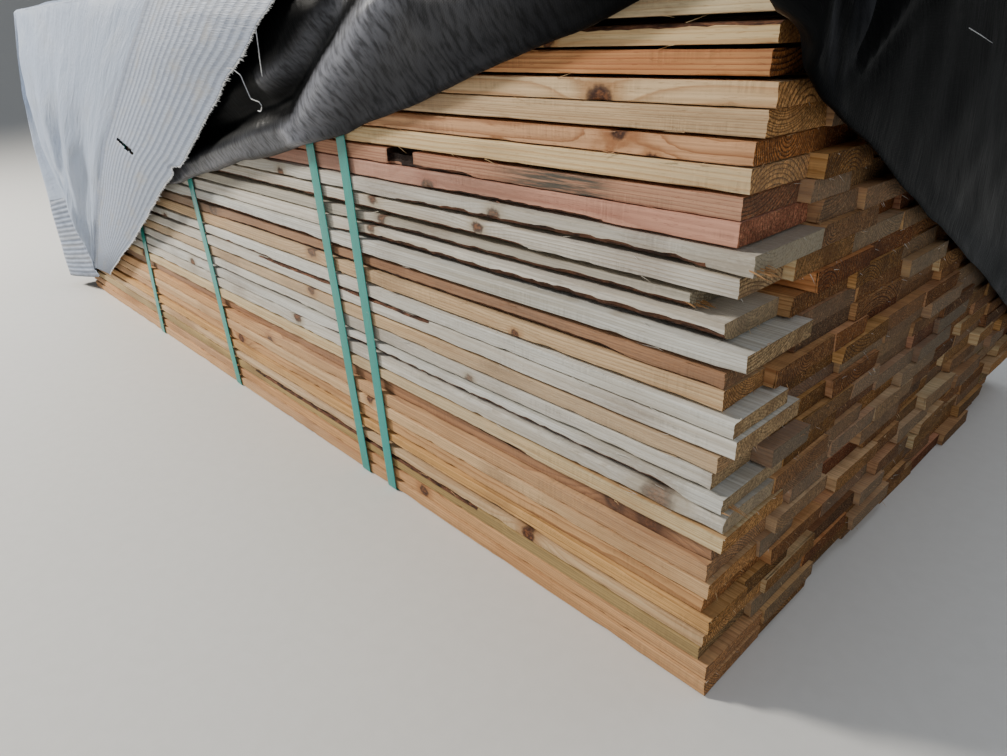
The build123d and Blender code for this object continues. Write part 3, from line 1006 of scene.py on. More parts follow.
def splinters(material):
    """Saw fuzz and torn fibres along the open long side and round the open ends."""
    gathered = Gathered()
    dice = random.Random("splinters")
    for node in LAYERS:
        layer = int(node.rsplit("_", 1)[1])
        boards = boards_of(node)
        kind = FACE_LOOKS[(layer - 1) % len(FACE_LOOKS)][0]
        low, high = boards[0]
        looks = looks_of(kind, dice, low[1:], *FUZZ_RINGS)
        for _ in range(8):
            away = 0.06 + dice.random() ** 1.4 * 1.7
            lower = dice.random() < 0.65
            root = (OPEN_END - away, low[1] + 0.5 * MM, low[2] + 0.6 * MM if lower else high[2] - 1.6 * MM)
            length = dice.uniform(6, 30) * MM
            down = dice.uniform(-0.28, 0.12) if lower else dice.uniform(-0.05, 0.22)
            along = Vector((dice.choice([-1, 1]), dice.uniform(-0.16, -0.02), down)) * length
            bend = Vector((0, dice.uniform(-3, 0), dice.uniform(-3, 2))) * MM
            sliver(gathered, root, along, dice.uniform(0.25, 0.6) * MM, bend, looks)
        for low, high in boards:
            looks = looks_of(dice.choice(FUZZ_WOODS), dice, low[1:], *FUZZ_RINGS)
            for _ in range(dice.choice([1, 2, 3, 5])):
                edge = dice.random() < 0.6
                across = dice.uniform(low[1] + 3 * MM, high[1] - 3 * MM)
                root = (high[0] - 0.8 * MM, across, low[2] + 0.8 * MM if edge else high[2] - 1.4 * MM)
                forward, aside = dice.uniform(0.2, 1), dice.uniform(-0.5, 0.5)
                rise = dice.uniform(-1, 0.2) if edge else dice.uniform(-0.2, 0.9)
                along = Vector((forward, aside, rise))
                along *= dice.uniform(3, 9) * MM
                sliver(gathered, root, along, dice.uniform(0.25, 0.6) * MM, (0, 0, -1 * MM), looks)
    # A torn end has a bunch of longer splinters that point out of it
    for layer, away, count in TORN_ENDS:
        low, high = boards_of(LAYERS[layer - 1])[0]
        looks = looks_of("tan", dice, low[1:], *FUZZ_RINGS)
        for _ in range(count):
            back, aside, rise = (dice.uniform(0, most) * MM for most in (away, 30, 9))
            root = (high[0] - back, low[1] + aside, low[2] + rise)
            along = Vector((1, dice.uniform(-0.25, 0.1), dice.uniform(-0.22, 0.05)))
            along = along * dice.uniform(10, 30) * MM
            width = dice.uniform(0.6, 1.8) * MM
            sliver(gathered, root, along, width, (0, 0, dice.uniform(-3, 1) * MM), looks)
    piece = gathered.become("loose_splinters", [material])
    return settle(piece, "sawn_softwood")


# Straps

# Distance of each band from the open end, on top of the bundle and at its foot
STRAP_LEAN = [(703, 653), (806, 738), (1372, 1294), (1709, 1795)]
STRAP_BEND = 4 * MM
STRAP_STEPS = 24


def strap_path(low, high, top_distance, foot_distance):
    """Middle line of a band round the bundle, and the way out of the bundle at each point."""
    corners = [(low.y, low.z), (low.y, high.z), (high.y, high.z), (high.y, low.z)]
    path = []
    for number, corner in enumerate(corners):
        after = corners[(number + 1) % 4]
        inward = (1 if corner[0] == low.y else -1, 1 if corner[1] == low.z else -1)
        centre = (corner[0] + inward[0] * STRAP_BEND, corner[1] + inward[1] * STRAP_BEND)
        start = {0: -90, 1: 180, 2: 90, 3: 0}[number]
        for step in range(4):
            angle = math.radians(start - 90 * step / 3)
            out = (math.cos(angle), math.sin(angle))
            path.append((centre[0] + out[0] * STRAP_BEND, centre[1] + out[1] * STRAP_BEND, *out))
        ahead = (after[0] - corner[0], after[1] - corner[1])
        length = math.hypot(*ahead)
        unit = (ahead[0] / length, ahead[1] / length)
        out = (-unit[1], unit[0])
        for step in range(1, STRAP_STEPS):
            run = STRAP_BEND + (length - 2 * STRAP_BEND) * step / STRAP_STEPS
            path.append((corner[0] + unit[0] * run, corner[1] + unit[1] * run, *out))
    points = []
    for y, z, out_y, out_z in path:
        share = (z - low.z) / (high.z - low.z)
        away = foot_distance + (top_distance - foot_distance) * share
        points.append((OPEN_END - away * MM, y, z, out_y, out_z))
    return points


def dress_strap(node, lean, material, width, thickness):
    """A tight flat band with softened edges that leans a little along the bundle."""
    low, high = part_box(node)
    half = width / 2
    dice = random.Random(node)
    # Section across the band: place along X as a share of half its width, depth below its outer face
    section = [
        (-1, 0.35), (-0.97, 0.05), (-0.9, 0), (0, 0), (0.9, 0), (0.97, 0.05), (1, 0.35),
        (0.98, 1), (-0.98, 1),
    ]
    gathered = Gathered()
    points = []
    path = strap_path(low, high, *lean)
    for number, (x, y, z, out_y, out_z) in enumerate(path):
        sway = 0.5 * MM * math.sin(number * 0.7 + dice.random() * 0.3)
        for along, depth in section:
            sink = depth * thickness
            points.append((x + along * half + sway, y - out_y * sink, z - out_z * sink))
    rows, columns = len(path), len(section)
    faces = grid_faces(rows, columns, closed=True)
    last = (rows - 1) * columns
    faces += [(last + c, last + (c + 1) % columns, (c + 1) % columns, c) for c in range(columns)]
    gathered.take(points, faces, 0)
    piece = gathered.become(f"band_{node}", [material], crease=math.radians(50))
    return settle(piece, "strap_band", node)


# Wrap

BORDER_WIDTH = 240 * MM
SHEET_THICKNESS = 0.8 * MM
TOP_ROUNDING = 9 * MM
WRAP_FRONT = WRAP_LOW.y + 10 * MM
WRAP_BACK = WRAP_HIGH.y
WRAP_FAR = WRAP_LOW.x
WRAP_NEAR = WRAP_HIGH.x - 10 * MM
WRAP_TOP = WRAP_HIGH.z - 5 * MM
HEM = 80 * MM
HEM_WAVE = 7 * MM
# Spacing of the columns along the front and along the other walls, and their distance from a corner
FRONT_STEP = 17 * MM
WALL_STEP = 24 * MM
CORNER_GAP = 12 * MM
# Where each part begins on the cloth, far enough apart that no two show the same crinkles
CLOTH_AT = {"panel": 7.0, "front": 9.0, "open end": 13.0, "back": 17.0, "far end": 21.0, "border": 30.0}
# Rows of the sheet's columns: down the wall, round the top edge, and in over the roof
WALL_ROWS, ARC_ROWS, ROOF_ROWS = 42, 5, 34
# Material slots of the sheet; the black underside of each is two slots further on
WHITE, RIBBED, TO_UNDERSIDE = 0, 1, 2

# Front panel and far corner: how each fold line runs down, as (height, distance, stand)
FOLD_LINES = [
    [(862, 2455, -150), (600, 2455, -150), (300, 2455, -150), (80, 2455, -150)],
    [
        (862, 2456, -60), (740, 2496, -46), (620, 2516, -40),
        (450, 2524, -34), (250, 2526, -30), (80, 2526, -30),
    ],
    [(862, 2454, 2), (740, 2493, 20), (620, 2512, 34), (450, 2520, 46), (250, 2522, 50), (36, 2520, 50)],
    [(862, 2440, 2), (740, 2480, 12), (620, 2500, 22), (459, 2470, 24), (300, 2422, 18), (60, 2324, 10)],
    [(862, 2390, 3), (740, 2420, 26), (620, 2432, 40), (459, 2396, 44), (300, 2362, 34), (86, 2322, 12)],
    [(862, 1900, 3), (740, 1990, 20), (620, 2080, 34), (459, 2170, 46), (300, 2236, 34), (86, 2320, 13)],
    [(862, 1228, 3), (832, 1282, 20), (721, 1474, 25), (531, 1788, 25), (318, 2076, 18), (97, 2318, 10)],
]
FOLD_LINE_HEMS = [80, 52, 36, 60, 84, 86, 88]
COLUMNS_BETWEEN = [8, 8, 6, 8, 26, 42]
# The roof's columns meet on a middle line that ends so far from the ends, at points so far apart
SPINE_INSET = 0.62
SPINE_STEP = 50 * MM
# How far the sheet lies off the boards at least, and how high a band shows through it
LEAST_LIFT = 1.2 * MM
BAND_RIDGE = 1.6 * MM

# Edges of the turned-back part: on the long side (distance, height), on the open end (across, height)
SIDE_FOLD = [
    (0, 766), (15, 784), (40, 800), (80, 791), (121, 775), (166, 761), (216, 745), (319, 721),
    (469, 680), (563, 654), (702, 619), (995, 559), (1309, 493), (1405, 474), (1560, 440),
]
END_FOLD = [
    (-40, 800), (0, 724), (16, 712), (34, 701), (52, 690), (75, 681), (136, 655), (208, 624),
    (297, 582), (410, 528), (556, 461), (833, 333), (984, 263), (1240, 140),
]
# Crests and hollows of the turned-back part on the long side: line (distance, height), stand, width
CRESTS = [
    ([(1300, 505), (1241, 518), (1079, 560), (947, 595), (848, 612), (790, 622)], 9, 26),
    ([(775, 618), (753, 630), (675, 682), (614, 719), (558, 751), (518, 777), (470, 815)], 15, 28),
    ([(840, 693), (774, 714), (725, 734), (666, 768), (609, 799), (560, 840)], 8, 20),
    (
        [(1250, 575), (1000, 630), (850, 662), (790, 678), (740, 708), (695, 738), (635, 772), (570, 830)],
        -20, 22,
    ),
    ([(1300, 590), (1050, 690), (900, 760), (800, 850)], -14, 34),
]
# Painted highlights along crests: line (distance, height), how pale, width
PAINTED_SHEEN_LINES = [
    ([(775, 612), (753, 630), (675, 682), (614, 719), (558, 751), (518, 777), (470, 815)], 0.85, 27),
    ([(1400, 480), (1241, 514), (1079, 553), (947, 588), (848, 606), (790, 616)], 0.5, 18),
    ([(840, 693), (774, 714), (725, 734), (666, 768), (609, 799), (560, 840)], 0.3, 14),
    ([(650, 660), (500, 700), (380, 760), (300, 840)], 0.14, 90),
]
# The hollow, where the reflection is lowered as painted shade, lies past the first line and above the
# second, as (distance, height)
HOLLOW_SIDE = [(790, 600), (773, 631), (728, 673), (685, 708), (613, 752), (556, 785), (470, 860)]
HOLLOW_FOOT = [(1600, 460), (1400, 500), (1140, 567), (991, 605), (877, 633), (790, 634), (300, 700)]
# Round the corner, from the long side to the open end: height of the lower edge and stand
CORNER_EDGE = [758, 754, 749, 744, 739, 733, 727]
CORNER_STAND = [47, 44, 40, 35, 31, 28, 26]
# Folds gathered at one point (across, height) of the open end: where each starts on top, stand, width
GATHER_POINT = (62, 680)
GATHERS = [(18, 7, 13), (48, -6, 13), (84, 12, 16), (138, -8, 20), (214, 10, 26), (330, -6, 34)]
# Painted highlights on some of them: where each starts on top, how pale, width
PAINTED_PLEAT_SHEEN = [(-30, 0.16, 10), (84, 0.13, 15)]

# Ribbed border on the long side: its inner fold and its frayed edge, as (distance, height, stand)
BORDER_FOLD = [
    (2318, 90, 10), (2076, 318, 18), (1788, 531, 25), (1474, 721, 25), (1282, 832, 22), (1228, 862, 12),
]
BORDER_FRAY = [
    (2132, 108, 14), (1900, 222, 24), (1527, 402, 34), (1348, 484, 40), (1245, 529, 44),
    (1037, 651, 49), (942, 703, 50), (858, 737, 50), (783, 783, 48), (745, 806, 42), (690, 862, 26),
]
# Middle of the tear (distance, height), and half its length and width
BORDER_TEAR = (1585 * MM, 541 * MM, 80 * MM, 3.4 * MM)
# Way of the tear along the border, as parts of distance and height
TEAR_WAY = (0.99, 0.14)
BORDER_ON_TOP = 330 * MM
BORDER_ROWS = 200
BORDER_OVER_ROWS = 26
RIB_POINTS = 6


def run_of(line, height, part, height_part=1):
    """One part of a line's rows, such as its distance or stand, at some heights."""
    rows = sorted(line, key=lambda row: row[height_part])
    return np.interp(height, [row[height_part] for row in rows], [row[part] for row in rows])


def spread_between(lines, counts):
    """Smoothly interpolated columns between control columns, with counts of steps between them."""
    lines = np.array(lines)
    out = []
    for k, count in enumerate(counts):
        before, first, second, after = (lines[min(max(k + d, 0), len(lines) - 1)] for d in (-1, 0, 1, 2))
        for step in range(count):
            t = step / count
            slope_a, slope_b = (second - before) / 2 * 0.75, (after - first) / 2 * 0.75
            h1, h2 = 2 * t**3 - 3 * t**2 + 1, -2 * t**3 + 3 * t**2
            h3, h4 = t**3 - 2 * t**2 + t, t**3 - t**2
            out.append(first * h1 + second * h2 + slope_a * h3 + slope_b * h4)
    out.append(lines[-1])
    return np.array(out)


def on_cloth(run, down):
    """Place on the cloth of each point of a column, from its way round and its way down."""
    return np.stack([np.full(len(down), run), down, np.zeros(len(down))], axis=-1)


def wall_bulge(run, height, seed):
    """Soft hanging folds and crumples of a sheet that lies against a wall, in metres."""
    low = smooth_step(0, 0.5, BOARDS_TOP - height)
    spot = spots(run, height * 0.35)
    folds = noise(spot, 0.24, seed) * 0.011 + noise(spot, 0.09, seed + 1) * 0.005
    crumple = noise(spots(run, height), 0.05, seed + 2) * 0.0012
    swag = noise(spots(run + height * 0.8, height * 0.2), 0.33, seed + 3)
    crease = creases(spots(run - height * 0.7, height * 0.4), 0.3, seed + 4, 8) * 0.009
    return np.clip((folds + 0.012 * swag + crease + 0.010) * low + crumple + 0.0008, 0.0006, 0.036)


# The wrap stands out by so much at most
MOST_STAND = 58 * MM
# Folds of the white panel fan out from the border's foot (distance, height) up to a height, each with the
# distance where it meets the top, its stand and its width there
PANEL_FOOT = (2322, 60)
PANEL_HEAD = 862
PANEL_FOLDS = [
    (1560, 8, 60), (1760, -14, 70), (1950, 20, 70), (2080, -16, 42), (2190, 24, 50), (2330, -10, 40),
]


def panel_folds(distance, height):
    """Soft folds of the white panel, which fan out from the foot of the border."""
    climb = np.clip((height - PANEL_FOOT[1] * MM) / ((PANEL_HEAD - PANEL_FOOT[1]) * MM), 0, 1)
    out = np.zeros(distance.shape)
    for top, stand, width in PANEL_FOLDS:
        middle = PANEL_FOOT[0] * MM + (top - PANEL_FOOT[0]) * MM * climb
        middle = middle + 0.035 * np.sin(climb * 5 + top)
        grown = smooth_step(0.02, 0.3, climb) * (1 - smooth_step(0.45, 0.95, climb))
        spread = width * MM * (0.3 + 0.8 * climb)
        out += stand * MM * grown * np.exp(-(((distance - middle) / spread) ** 2))
    return out


def panel_columns(shares, wall_top):
    """Columns of the far corner and the front panel, forward to the border's fold, and where they start."""
    columns, kinds = [], []
    controls = []
    for line, hem in zip(FOLD_LINES, FOLD_LINE_HEMS):
        heights = hem * MM + (wall_top - hem * MM) * shares
        above_boards = (heights - BOARDS_BOTTOM) / MM
        distance = run_of(line, above_boards, 1, 0)
        stand = run_of(line, above_boards, 2, 0)
        controls.append(np.stack([OPEN_END - distance * MM, LONG_SIDE - stand * MM, heights], axis=-1))
    panel = spread_between(controls, COLUMNS_BETWEEN)
    runs = way_along(panel[:, -1])
    for number, column in enumerate(panel):
        run = CLOTH_AT["panel"] + runs[number]
        spot = spots(np.full(WALL_ROWS, run), column[:, 2])
        loose = smooth_step(0, 0.2, wall_top - column[:, 2])
        ripple = (noise(spot, 0.08, 91) * 0.0028 + noise(spot, 0.03, 92) * 0.0008) * loose
        ripple = ripple + panel_folds(OPEN_END - column[:, 0], column[:, 2] - BOARDS_BOTTOM)
        ripple = ripple * min(1.0, (len(panel) - 1 - number) / 9)
        tucked = 5 * MM * smooth_step(len(panel) - 7, len(panel) - 1, number) * loose
        column = column.copy()
        column[:, 1] -= ripple + LEAST_LIFT - tucked
        column[:, 1] = np.maximum(column[:, 1], LONG_SIDE - MOST_STAND)
        top = column[-1, :2]
        on_far_wall = top[1] > WRAP_FRONT + 0.02
        out = (-1.0, 0.0) if on_far_wall else (0.0, -1.0)
        edge = (WRAP_FAR, top[1]) if on_far_wall else (max(top[0], WRAP_FAR), WRAP_FRONT)
        columns.append((column, np.array(edge), np.array(out), run))
        kinds.append("ear" if number < sum(COLUMNS_BETWEEN[:3]) else "panel")
    return columns, kinds, panel[0, -1, 1]


def roofed(columns):
    """Points of the sheet's columns with the roof added to their walls, and their places on the cloth."""
    spine_low, spine_high = WRAP_FAR + SPINE_INSET, WRAP_NEAR - SPINE_INSET
    spine_y = (WRAP_FRONT + WRAP_BACK) / 2
    points, cloth = [], []
    for wall, edge, out, run in columns:
        arc = []
        for step in range(1, ARC_ROWS + 1):
            angle = math.pi / 2 * step / ARC_ROWS
            inward = TOP_ROUNDING * (1 - math.cos(angle))
            rise = TOP_ROUNDING * (math.sin(angle) - 1)
            arc.append((*(edge - out * inward), WRAP_TOP + rise))
        arc = np.array(arc)
        arc[0, :2] = 0.5 * arc[0, :2] + 0.5 * wall[-1, :2]
        last = arc[-1]
        # The columns from the front and from the back share their points on the middle line
        shared = round(last[0] / SPINE_STEP) * SPINE_STEP
        spine = np.array((min(max(shared, spine_low), spine_high), spine_y, WRAP_TOP))
        shares_in = (np.arange(1, ROOF_ROWS + 1) / ROOF_ROWS)[:, None]
        roof = last + (spine - last) * shares_in
        points.append(np.concatenate([wall, arc, roof]))
        down = np.concatenate([wall[:, 2] - wall[0, 2], 0.8 + np.linspace(0, 0.62, ARC_ROWS + ROOF_ROWS)])
        cloth.append(on_cloth(run, down))
    points = np.array(points)
    roof_zone = points[:, WALL_ROWS + ARC_ROWS - 1 :]
    x, y = roof_zone[..., 0], roof_zone[..., 1]
    from_edge = np.minimum.reduce([x - WRAP_FAR, WRAP_NEAR - x, y - WRAP_FRONT, WRAP_BACK - y])
    roof_zone[..., 2] += roof_relief(x, y) * smooth_step(0.004, 0.06, from_edge)
    return points, np.array(cloth)


def wrap_grid():
    """All columns of the main sheet, each from the hem up its wall and in over the roof to the spine."""
    shares = np.linspace(0, 1, WALL_ROWS)
    wall_top = WRAP_TOP - TOP_ROUNDING
    columns, kinds, start = panel_columns(shares, wall_top)

    def add_wall(xy, out, hem, seed, kind, run):
        """A column of a straight wall."""
        heights = hem + (wall_top - hem) * shares
        bulge = wall_bulge(np.full(WALL_ROWS, run), heights, seed)
        wall = np.stack([xy[0] + out[0] * bulge, xy[1] + out[1] * bulge, heights], axis=-1)
        columns.append((wall, np.array(xy), np.array(out), run))
        kinds.append(kind)

    # Torn columns: the front to the open end, and the open end
    crease_x = columns[-1][1][0]
    count = int((WRAP_NEAR - crease_x) / FRONT_STEP)
    for x in np.linspace(crease_x, WRAP_NEAR - CORNER_GAP, count)[1:]:
        add_wall((x, WRAP_FRONT), (0, -1), HEM, 11, "torn", CLOTH_AT["front"] + x)
    count = int((WRAP_BACK - WRAP_FRONT) / WALL_STEP)
    for y in np.linspace(WRAP_FRONT + CORNER_GAP, WRAP_BACK - CORNER_GAP, count):
        add_wall((WRAP_NEAR, y), (1, 0), HEM, 12, "torn", CLOTH_AT["open end"] + y)
    # Back and far end, whole
    count = int((WRAP_NEAR - WRAP_FAR) / WALL_STEP)
    for x in np.linspace(WRAP_NEAR - 8 * MM, WRAP_FAR + CORNER_GAP, count):
        hem = HEM + HEM_WAVE * noise_at(x, 0.3, 71)
        add_wall((x, WRAP_BACK), (0, 1), hem, 13, "whole", CLOTH_AT["back"] - x)
    count = int((WRAP_BACK - start) / WALL_STEP)
    for y in np.linspace(WRAP_BACK - CORNER_GAP, start, count)[:-1]:
        hem = HEM + HEM_WAVE * noise_at(y, 0.3, 72)
        add_wall((WRAP_FAR, y), (-1, 0), hem, 14, "whole", CLOTH_AT["far end"] - y)
    return *roofed(columns), kinds


def roof_relief(x, y):
    """Height of the sheet over the top boards: slack wrinkles, with the bands showing through."""
    spot = spots(x, y)
    skewed = spots(x * 0.5 + y * 0.9, y * 0.5 - x * 0.9)
    slack = np.clip(noise(spot, 0.3, 31) * 0.006 + noise(skewed, 0.13, 32) * 0.004 + 0.004, 0, 0.02)
    crease = creases(skewed, 0.26, 33, 9) * 0.008 + creases(spot, 0.2, 35, 12) * 0.006
    fine = noise(spot, 0.04, 34) * 0.0009
    bands = np.zeros_like(x)
    for top_distance, _ in STRAP_LEAN:
        away = np.abs(x - (OPEN_END - top_distance * MM))
        bands = np.maximum(bands, BAND_RIDGE * (1 - smooth_step(12 * MM, 20 * MM, away)))
    return slack + crease + fine + bands + LEAST_LIFT


def main_sheet(gathered):
    """The white sheet with its black underside, and the ribbed border along its hem."""
    points, cloth, kinds = wrap_grid()
    columns, rows = points.shape[:2]
    faces, slots = [], []
    for c in range(columns):
        after = (c + 1) % columns
        torn = kinds[c] == "torn" or kinds[after] == "torn"
        for r in range(rows - 1):
            if torn and r < WALL_ROWS - 1:
                continue
            faces.append((c * rows + r, after * rows + r, after * rows + r + 1, c * rows + r + 1))
            on_border = cloth[c, r, 1] < BORDER_WIDTH and kinds[c] in ("whole", "ear") and r < WALL_ROWS
            slots.append(RIBBED if on_border else WHITE)
    gathered.take(points.reshape(-1, 3), faces, slots, cloth=cloth.reshape(-1, 3))


def outline(rows, share):
    """Points along a line of (distance, height, stand) rows at shares of its length, in the row frame."""
    rows = np.array(rows, float) * MM
    along = way_along(rows)
    along = along / along[-1]
    distance, height, stand = (np.interp(share, along, rows[:, k]) for k in range(3))
    return np.stack([OPEN_END - distance, LONG_SIDE - stand, BOARDS_BOTTOM + height], axis=-1)


def over_the_top(last, reach, at_first, clear_of_sheet):
    """Points of one of the border's edges, on over the top edge and in across the top."""
    over_step = BORDER_ON_TOP / BORDER_OVER_ROWS
    way = np.array([BORDER_TOP_SLANT, 1.0])
    rows = []
    for step in range(1, BORDER_OVER_ROWS + 1):
        run = step * over_step * reach
        bend = min(run / 0.045, 1.0) * math.pi / 2
        forward = way * max(0.0, run - 0.018)
        clear = at_first * MM * (1 - smooth_step(0.05, 0.3, run)) + clear_of_sheet * MM
        rise = WRAP_TOP + clear + 2 * MM * math.sin(run * 22) - 0.010 * math.exp(-run / 0.02)
        rows.append((last[0] + forward[0], last[1] + forward[1] + 0.012 * math.sin(bend), rise))
    return np.array(rows)


def in_tear(grid):
    """Which points of the border lie in its small tear."""
    distance = (OPEN_END - grid[..., 0] - BORDER_TEAR[0]).ravel()
    height = (grid[..., 2] - BOARDS_BOTTOM - BORDER_TEAR[1]).ravel()
    along = (distance * TEAR_WAY[0] + height * TEAR_WAY[1]) / BORDER_TEAR[2]
    aside = (height * TEAR_WAY[0] - distance * TEAR_WAY[1]) / BORDER_TEAR[3]
    aside = aside + 0.5 * noise(distance, 0.012, 59)
    return along**2 + aside**2 < 1


def ribbed_border(gathered):
    """The ribbed border that runs up over the long side, folded at one edge and frayed at the other."""
    ribs = int(BORDER_WIDTH / RIB_SPACING)
    columns = ribs * RIB_POINTS + 1
    share_up = np.linspace(0, 1, BORDER_ROWS)
    fold, fray = outline(BORDER_FOLD, share_up), outline(BORDER_FRAY, share_up)
    # Its fold lies on the sheet, and its frayed edge on the turned-back part
    fold = np.concatenate([fold, over_the_top(fold[-1], 0.8, 3, 2)])
    fray = np.concatenate([fray, over_the_top(fray[-1], 1.0, 15, 7)])
    rows = len(fold)
    across = np.linspace(0, 1, columns)
    spread = np.concatenate([[-0.03], across[1:]])
    grid = fold[:, None] + (fray - fold)[:, None] * spread[None, :, None]
    run_up = way_along(grid[:, columns // 2])
    on_side = grid[..., 2] < WRAP_TOP
    out = np.where(on_side[..., None], np.array([0.0, -1.0, 0.2]), np.array([0.0, 0.0, 1.0]))
    spot = np.stack(np.broadcast_arrays(run_up[:, None], across[None, :] * 0.24), axis=-1)
    swell = 0.012 * np.sin(math.pi * across)[None, :] * smooth_step(0.1, 0.8, run_up)[:, None]
    swell = swell * np.where(on_side, 1.0, 0.4)
    rib = 0.0011 * np.cos(2 * math.pi * ribs * across)[None, :]
    ripple = noise(spot, 0.16, 51) * 0.0022 + noise(spot, 0.03, 52) * 0.0003
    long_wave = 0.004 * np.sin(run_up * 9 + 1.0)[:, None] * across[None, :]
    ripple = ripple * smooth_step(0.0, 0.15, across)[None, :]
    swell = swell + 0.004 * np.exp(-across / 0.03)[None, :]
    grid = grid + out * (swell + rib + ripple + long_wave)[..., None]
    # On the roof it stays clear of the sheet, and of the turned-back part between them
    inwards = grid[..., 1] - WRAP_FRONT
    clear = 8.5 * MM - 2.5 * MM * smooth_step(0.22, 0.3, inwards) + rib
    clear = clear * (0.3 + 0.7 * smooth_step(0.0, 0.3, across)[None, :])
    on_roof = WRAP_TOP + (roof_relief(grid[..., 0], grid[..., 1]) + clear) * smooth_step(0.0, 0.05, inwards)
    grid[..., 2] = np.where(on_side, grid[..., 2], np.maximum(grid[..., 2], on_roof))
    # The far corner of the edge is torn in a notch, and the edge itself is uneven
    fray_jag = noise(run_up, 0.006, 53) * 0.0016 + noise(run_up, 0.05, 54) * 0.003
    inward = (grid[:, 0] - grid[:, -1]) / np.linalg.norm(grid[:, 0] - grid[:, -1], axis=1)[:, None]
    tip = noise(across * 0.24, 0.012, 57) * 0.002 + noise(across * 0.24, 0.05, 58) * 0.008
    grid[-1, :, 1] += tip
    grid[-2, :, 1] += tip * 0.5
    weight = across[None, :] ** 14
    notch = 0.026 * np.exp(-(((run_up - 0.86) / 0.016) ** 2))
    grid = grid + inward[:, None] * (weight * (fray_jag + notch)[:, None])[..., None]
    cloth = np.zeros((rows, columns, 3))
    cloth[..., 0] = run_up[:, None] + CLOTH_AT["border"]
    cloth[..., 1] = across[None, :] * BORDER_WIDTH
    torn = in_tear(grid)
    faces = [face for face in grid_faces(rows, columns) if not torn[list(face)].any()]
    gathered.take(grid.reshape(-1, 3), faces, RIBBED, cloth=cloth.reshape(-1, 3))
    return grid


def as_sheet(piece, offset):
    """Gives a sheet its thickness, with the material of its other side underneath."""
    solid = piece.modifiers.new("sheet thickness", "SOLIDIFY")
    solid.thickness = SHEET_THICKNESS
    solid.offset = -1
    solid.material_offset = offset
    solid.use_even_offset = False


def line_relief(distance, height, line, stand, width):
    """A soft crest or hollow along a line on the long side."""
    points = np.array(line, float) * MM
    best = np.full(distance.shape, 9.0)
    for a, b in zip(points[:-1], points[1:]):
        step = b - a
        share = np.clip(((distance - a[0]) * step[0] + (height - a[1]) * step[1]) / (step @ step), 0, 1)
        away = np.hypot(distance - a[0] - share * step[0], height - a[1] - share * step[1])
        best = np.minimum(best, away)
    return stand * MM * np.exp(-((best / (width * MM)) ** 2))


# How far the turned-back part keeps behind the border, and how the border slants across the top
UNDER_BORDER = 9 * MM
BORDER_TOP_SLANT = 0.30
FLAP_ROLL_ROWS = 9
FLAP_FACE_ROWS = 34
FLAP_OVER_ROWS = 6
FLAP_TOP_ROWS = 22
# Length of the turned-back part on the long side and width of the bundle, in mm, and its reach on top
FLAP_LENGTH = 1560
BUNDLE_WIDTH = 1219
FLAP_SIDE_COLUMNS = 118
FLAP_END_COLUMNS = 96
FLAP_REACH = 330 * MM
FLAP_STAND = 30 * MM
# How far it lies over the roof
FLAP_OVER_ROOF = 3.6 * MM
# Stand of the layer that hangs down behind, and how high the roll at the fold is
LAYER_BEHIND = 1.6 * MM
ROLL_RISE = 12 * MM
END_STAND = 12 * MM


def flap_columns():
    """The turned-back part's columns: base point, way out, edge height, and where each ends on top."""
    columns = []
    for distance in np.linspace(FLAP_LENGTH, 14, FLAP_SIDE_COLUMNS):
        edge = np.interp(distance, *zip(*SIDE_FOLD)) * MM
        base = np.array([OPEN_END - distance * MM, LONG_SIDE])
        reach = FLAP_REACH + (distance * MM) * (FLAP_LENGTH * MM - FLAP_REACH) / (FLAP_LENGTH * MM)
        inner = np.array([OPEN_END - max(reach, distance * MM * 0.9), LONG_SIDE + FLAP_REACH])
        columns.append((base, (0.0, -1.0), edge, inner, "side", distance * MM))
    corner = np.array([FURTHEST_BOARD - 12 * MM, LONG_SIDE + 8 * MM])
    for step in range(1, 8):
        angle = math.pi / 2 * step / 8
        out = (math.sin(angle), -math.cos(angle))
        base = corner + np.array(out) * np.array([12 * MM, 8 * MM])
        edge = CORNER_EDGE[step - 1] * MM
        inner = np.array([OPEN_END - FLAP_REACH, LONG_SIDE + FLAP_REACH])
        columns.append((base, out, edge, inner, "corner", step / 8))
    for across in np.linspace(12, BUNDLE_WIDTH, FLAP_END_COLUMNS):
        edge = np.interp(across, *zip(*END_FOLD)) * MM
        base = np.array([FURTHEST_BOARD, LONG_SIDE + across * MM])
        span = (BUNDLE_WIDTH * MM - FLAP_REACH) / (BUNDLE_WIDTH * MM)
        inner = np.array([OPEN_END - FLAP_REACH, LONG_SIDE + FLAP_REACH + across * MM * span * 0.93])
        columns.append((base, (1.0, 0.0), edge, inner, "end", across * MM))
    for step in range(1, 6):
        angle = math.pi / 2 * step / 5
        out = (math.cos(angle), math.sin(angle))
        base = np.array([FURTHEST_BOARD - 10 * MM, BACK_SIDE - 6 * MM]) + np.array(out) * (10 * MM)
        inner = np.array([OPEN_END - FLAP_REACH, BACK_SIDE - 40 * MM])
        columns.append((base, out, (120 + 6 * step) * MM, inner, "end", (BUNDLE_WIDTH + step * 4) * MM))
    return columns


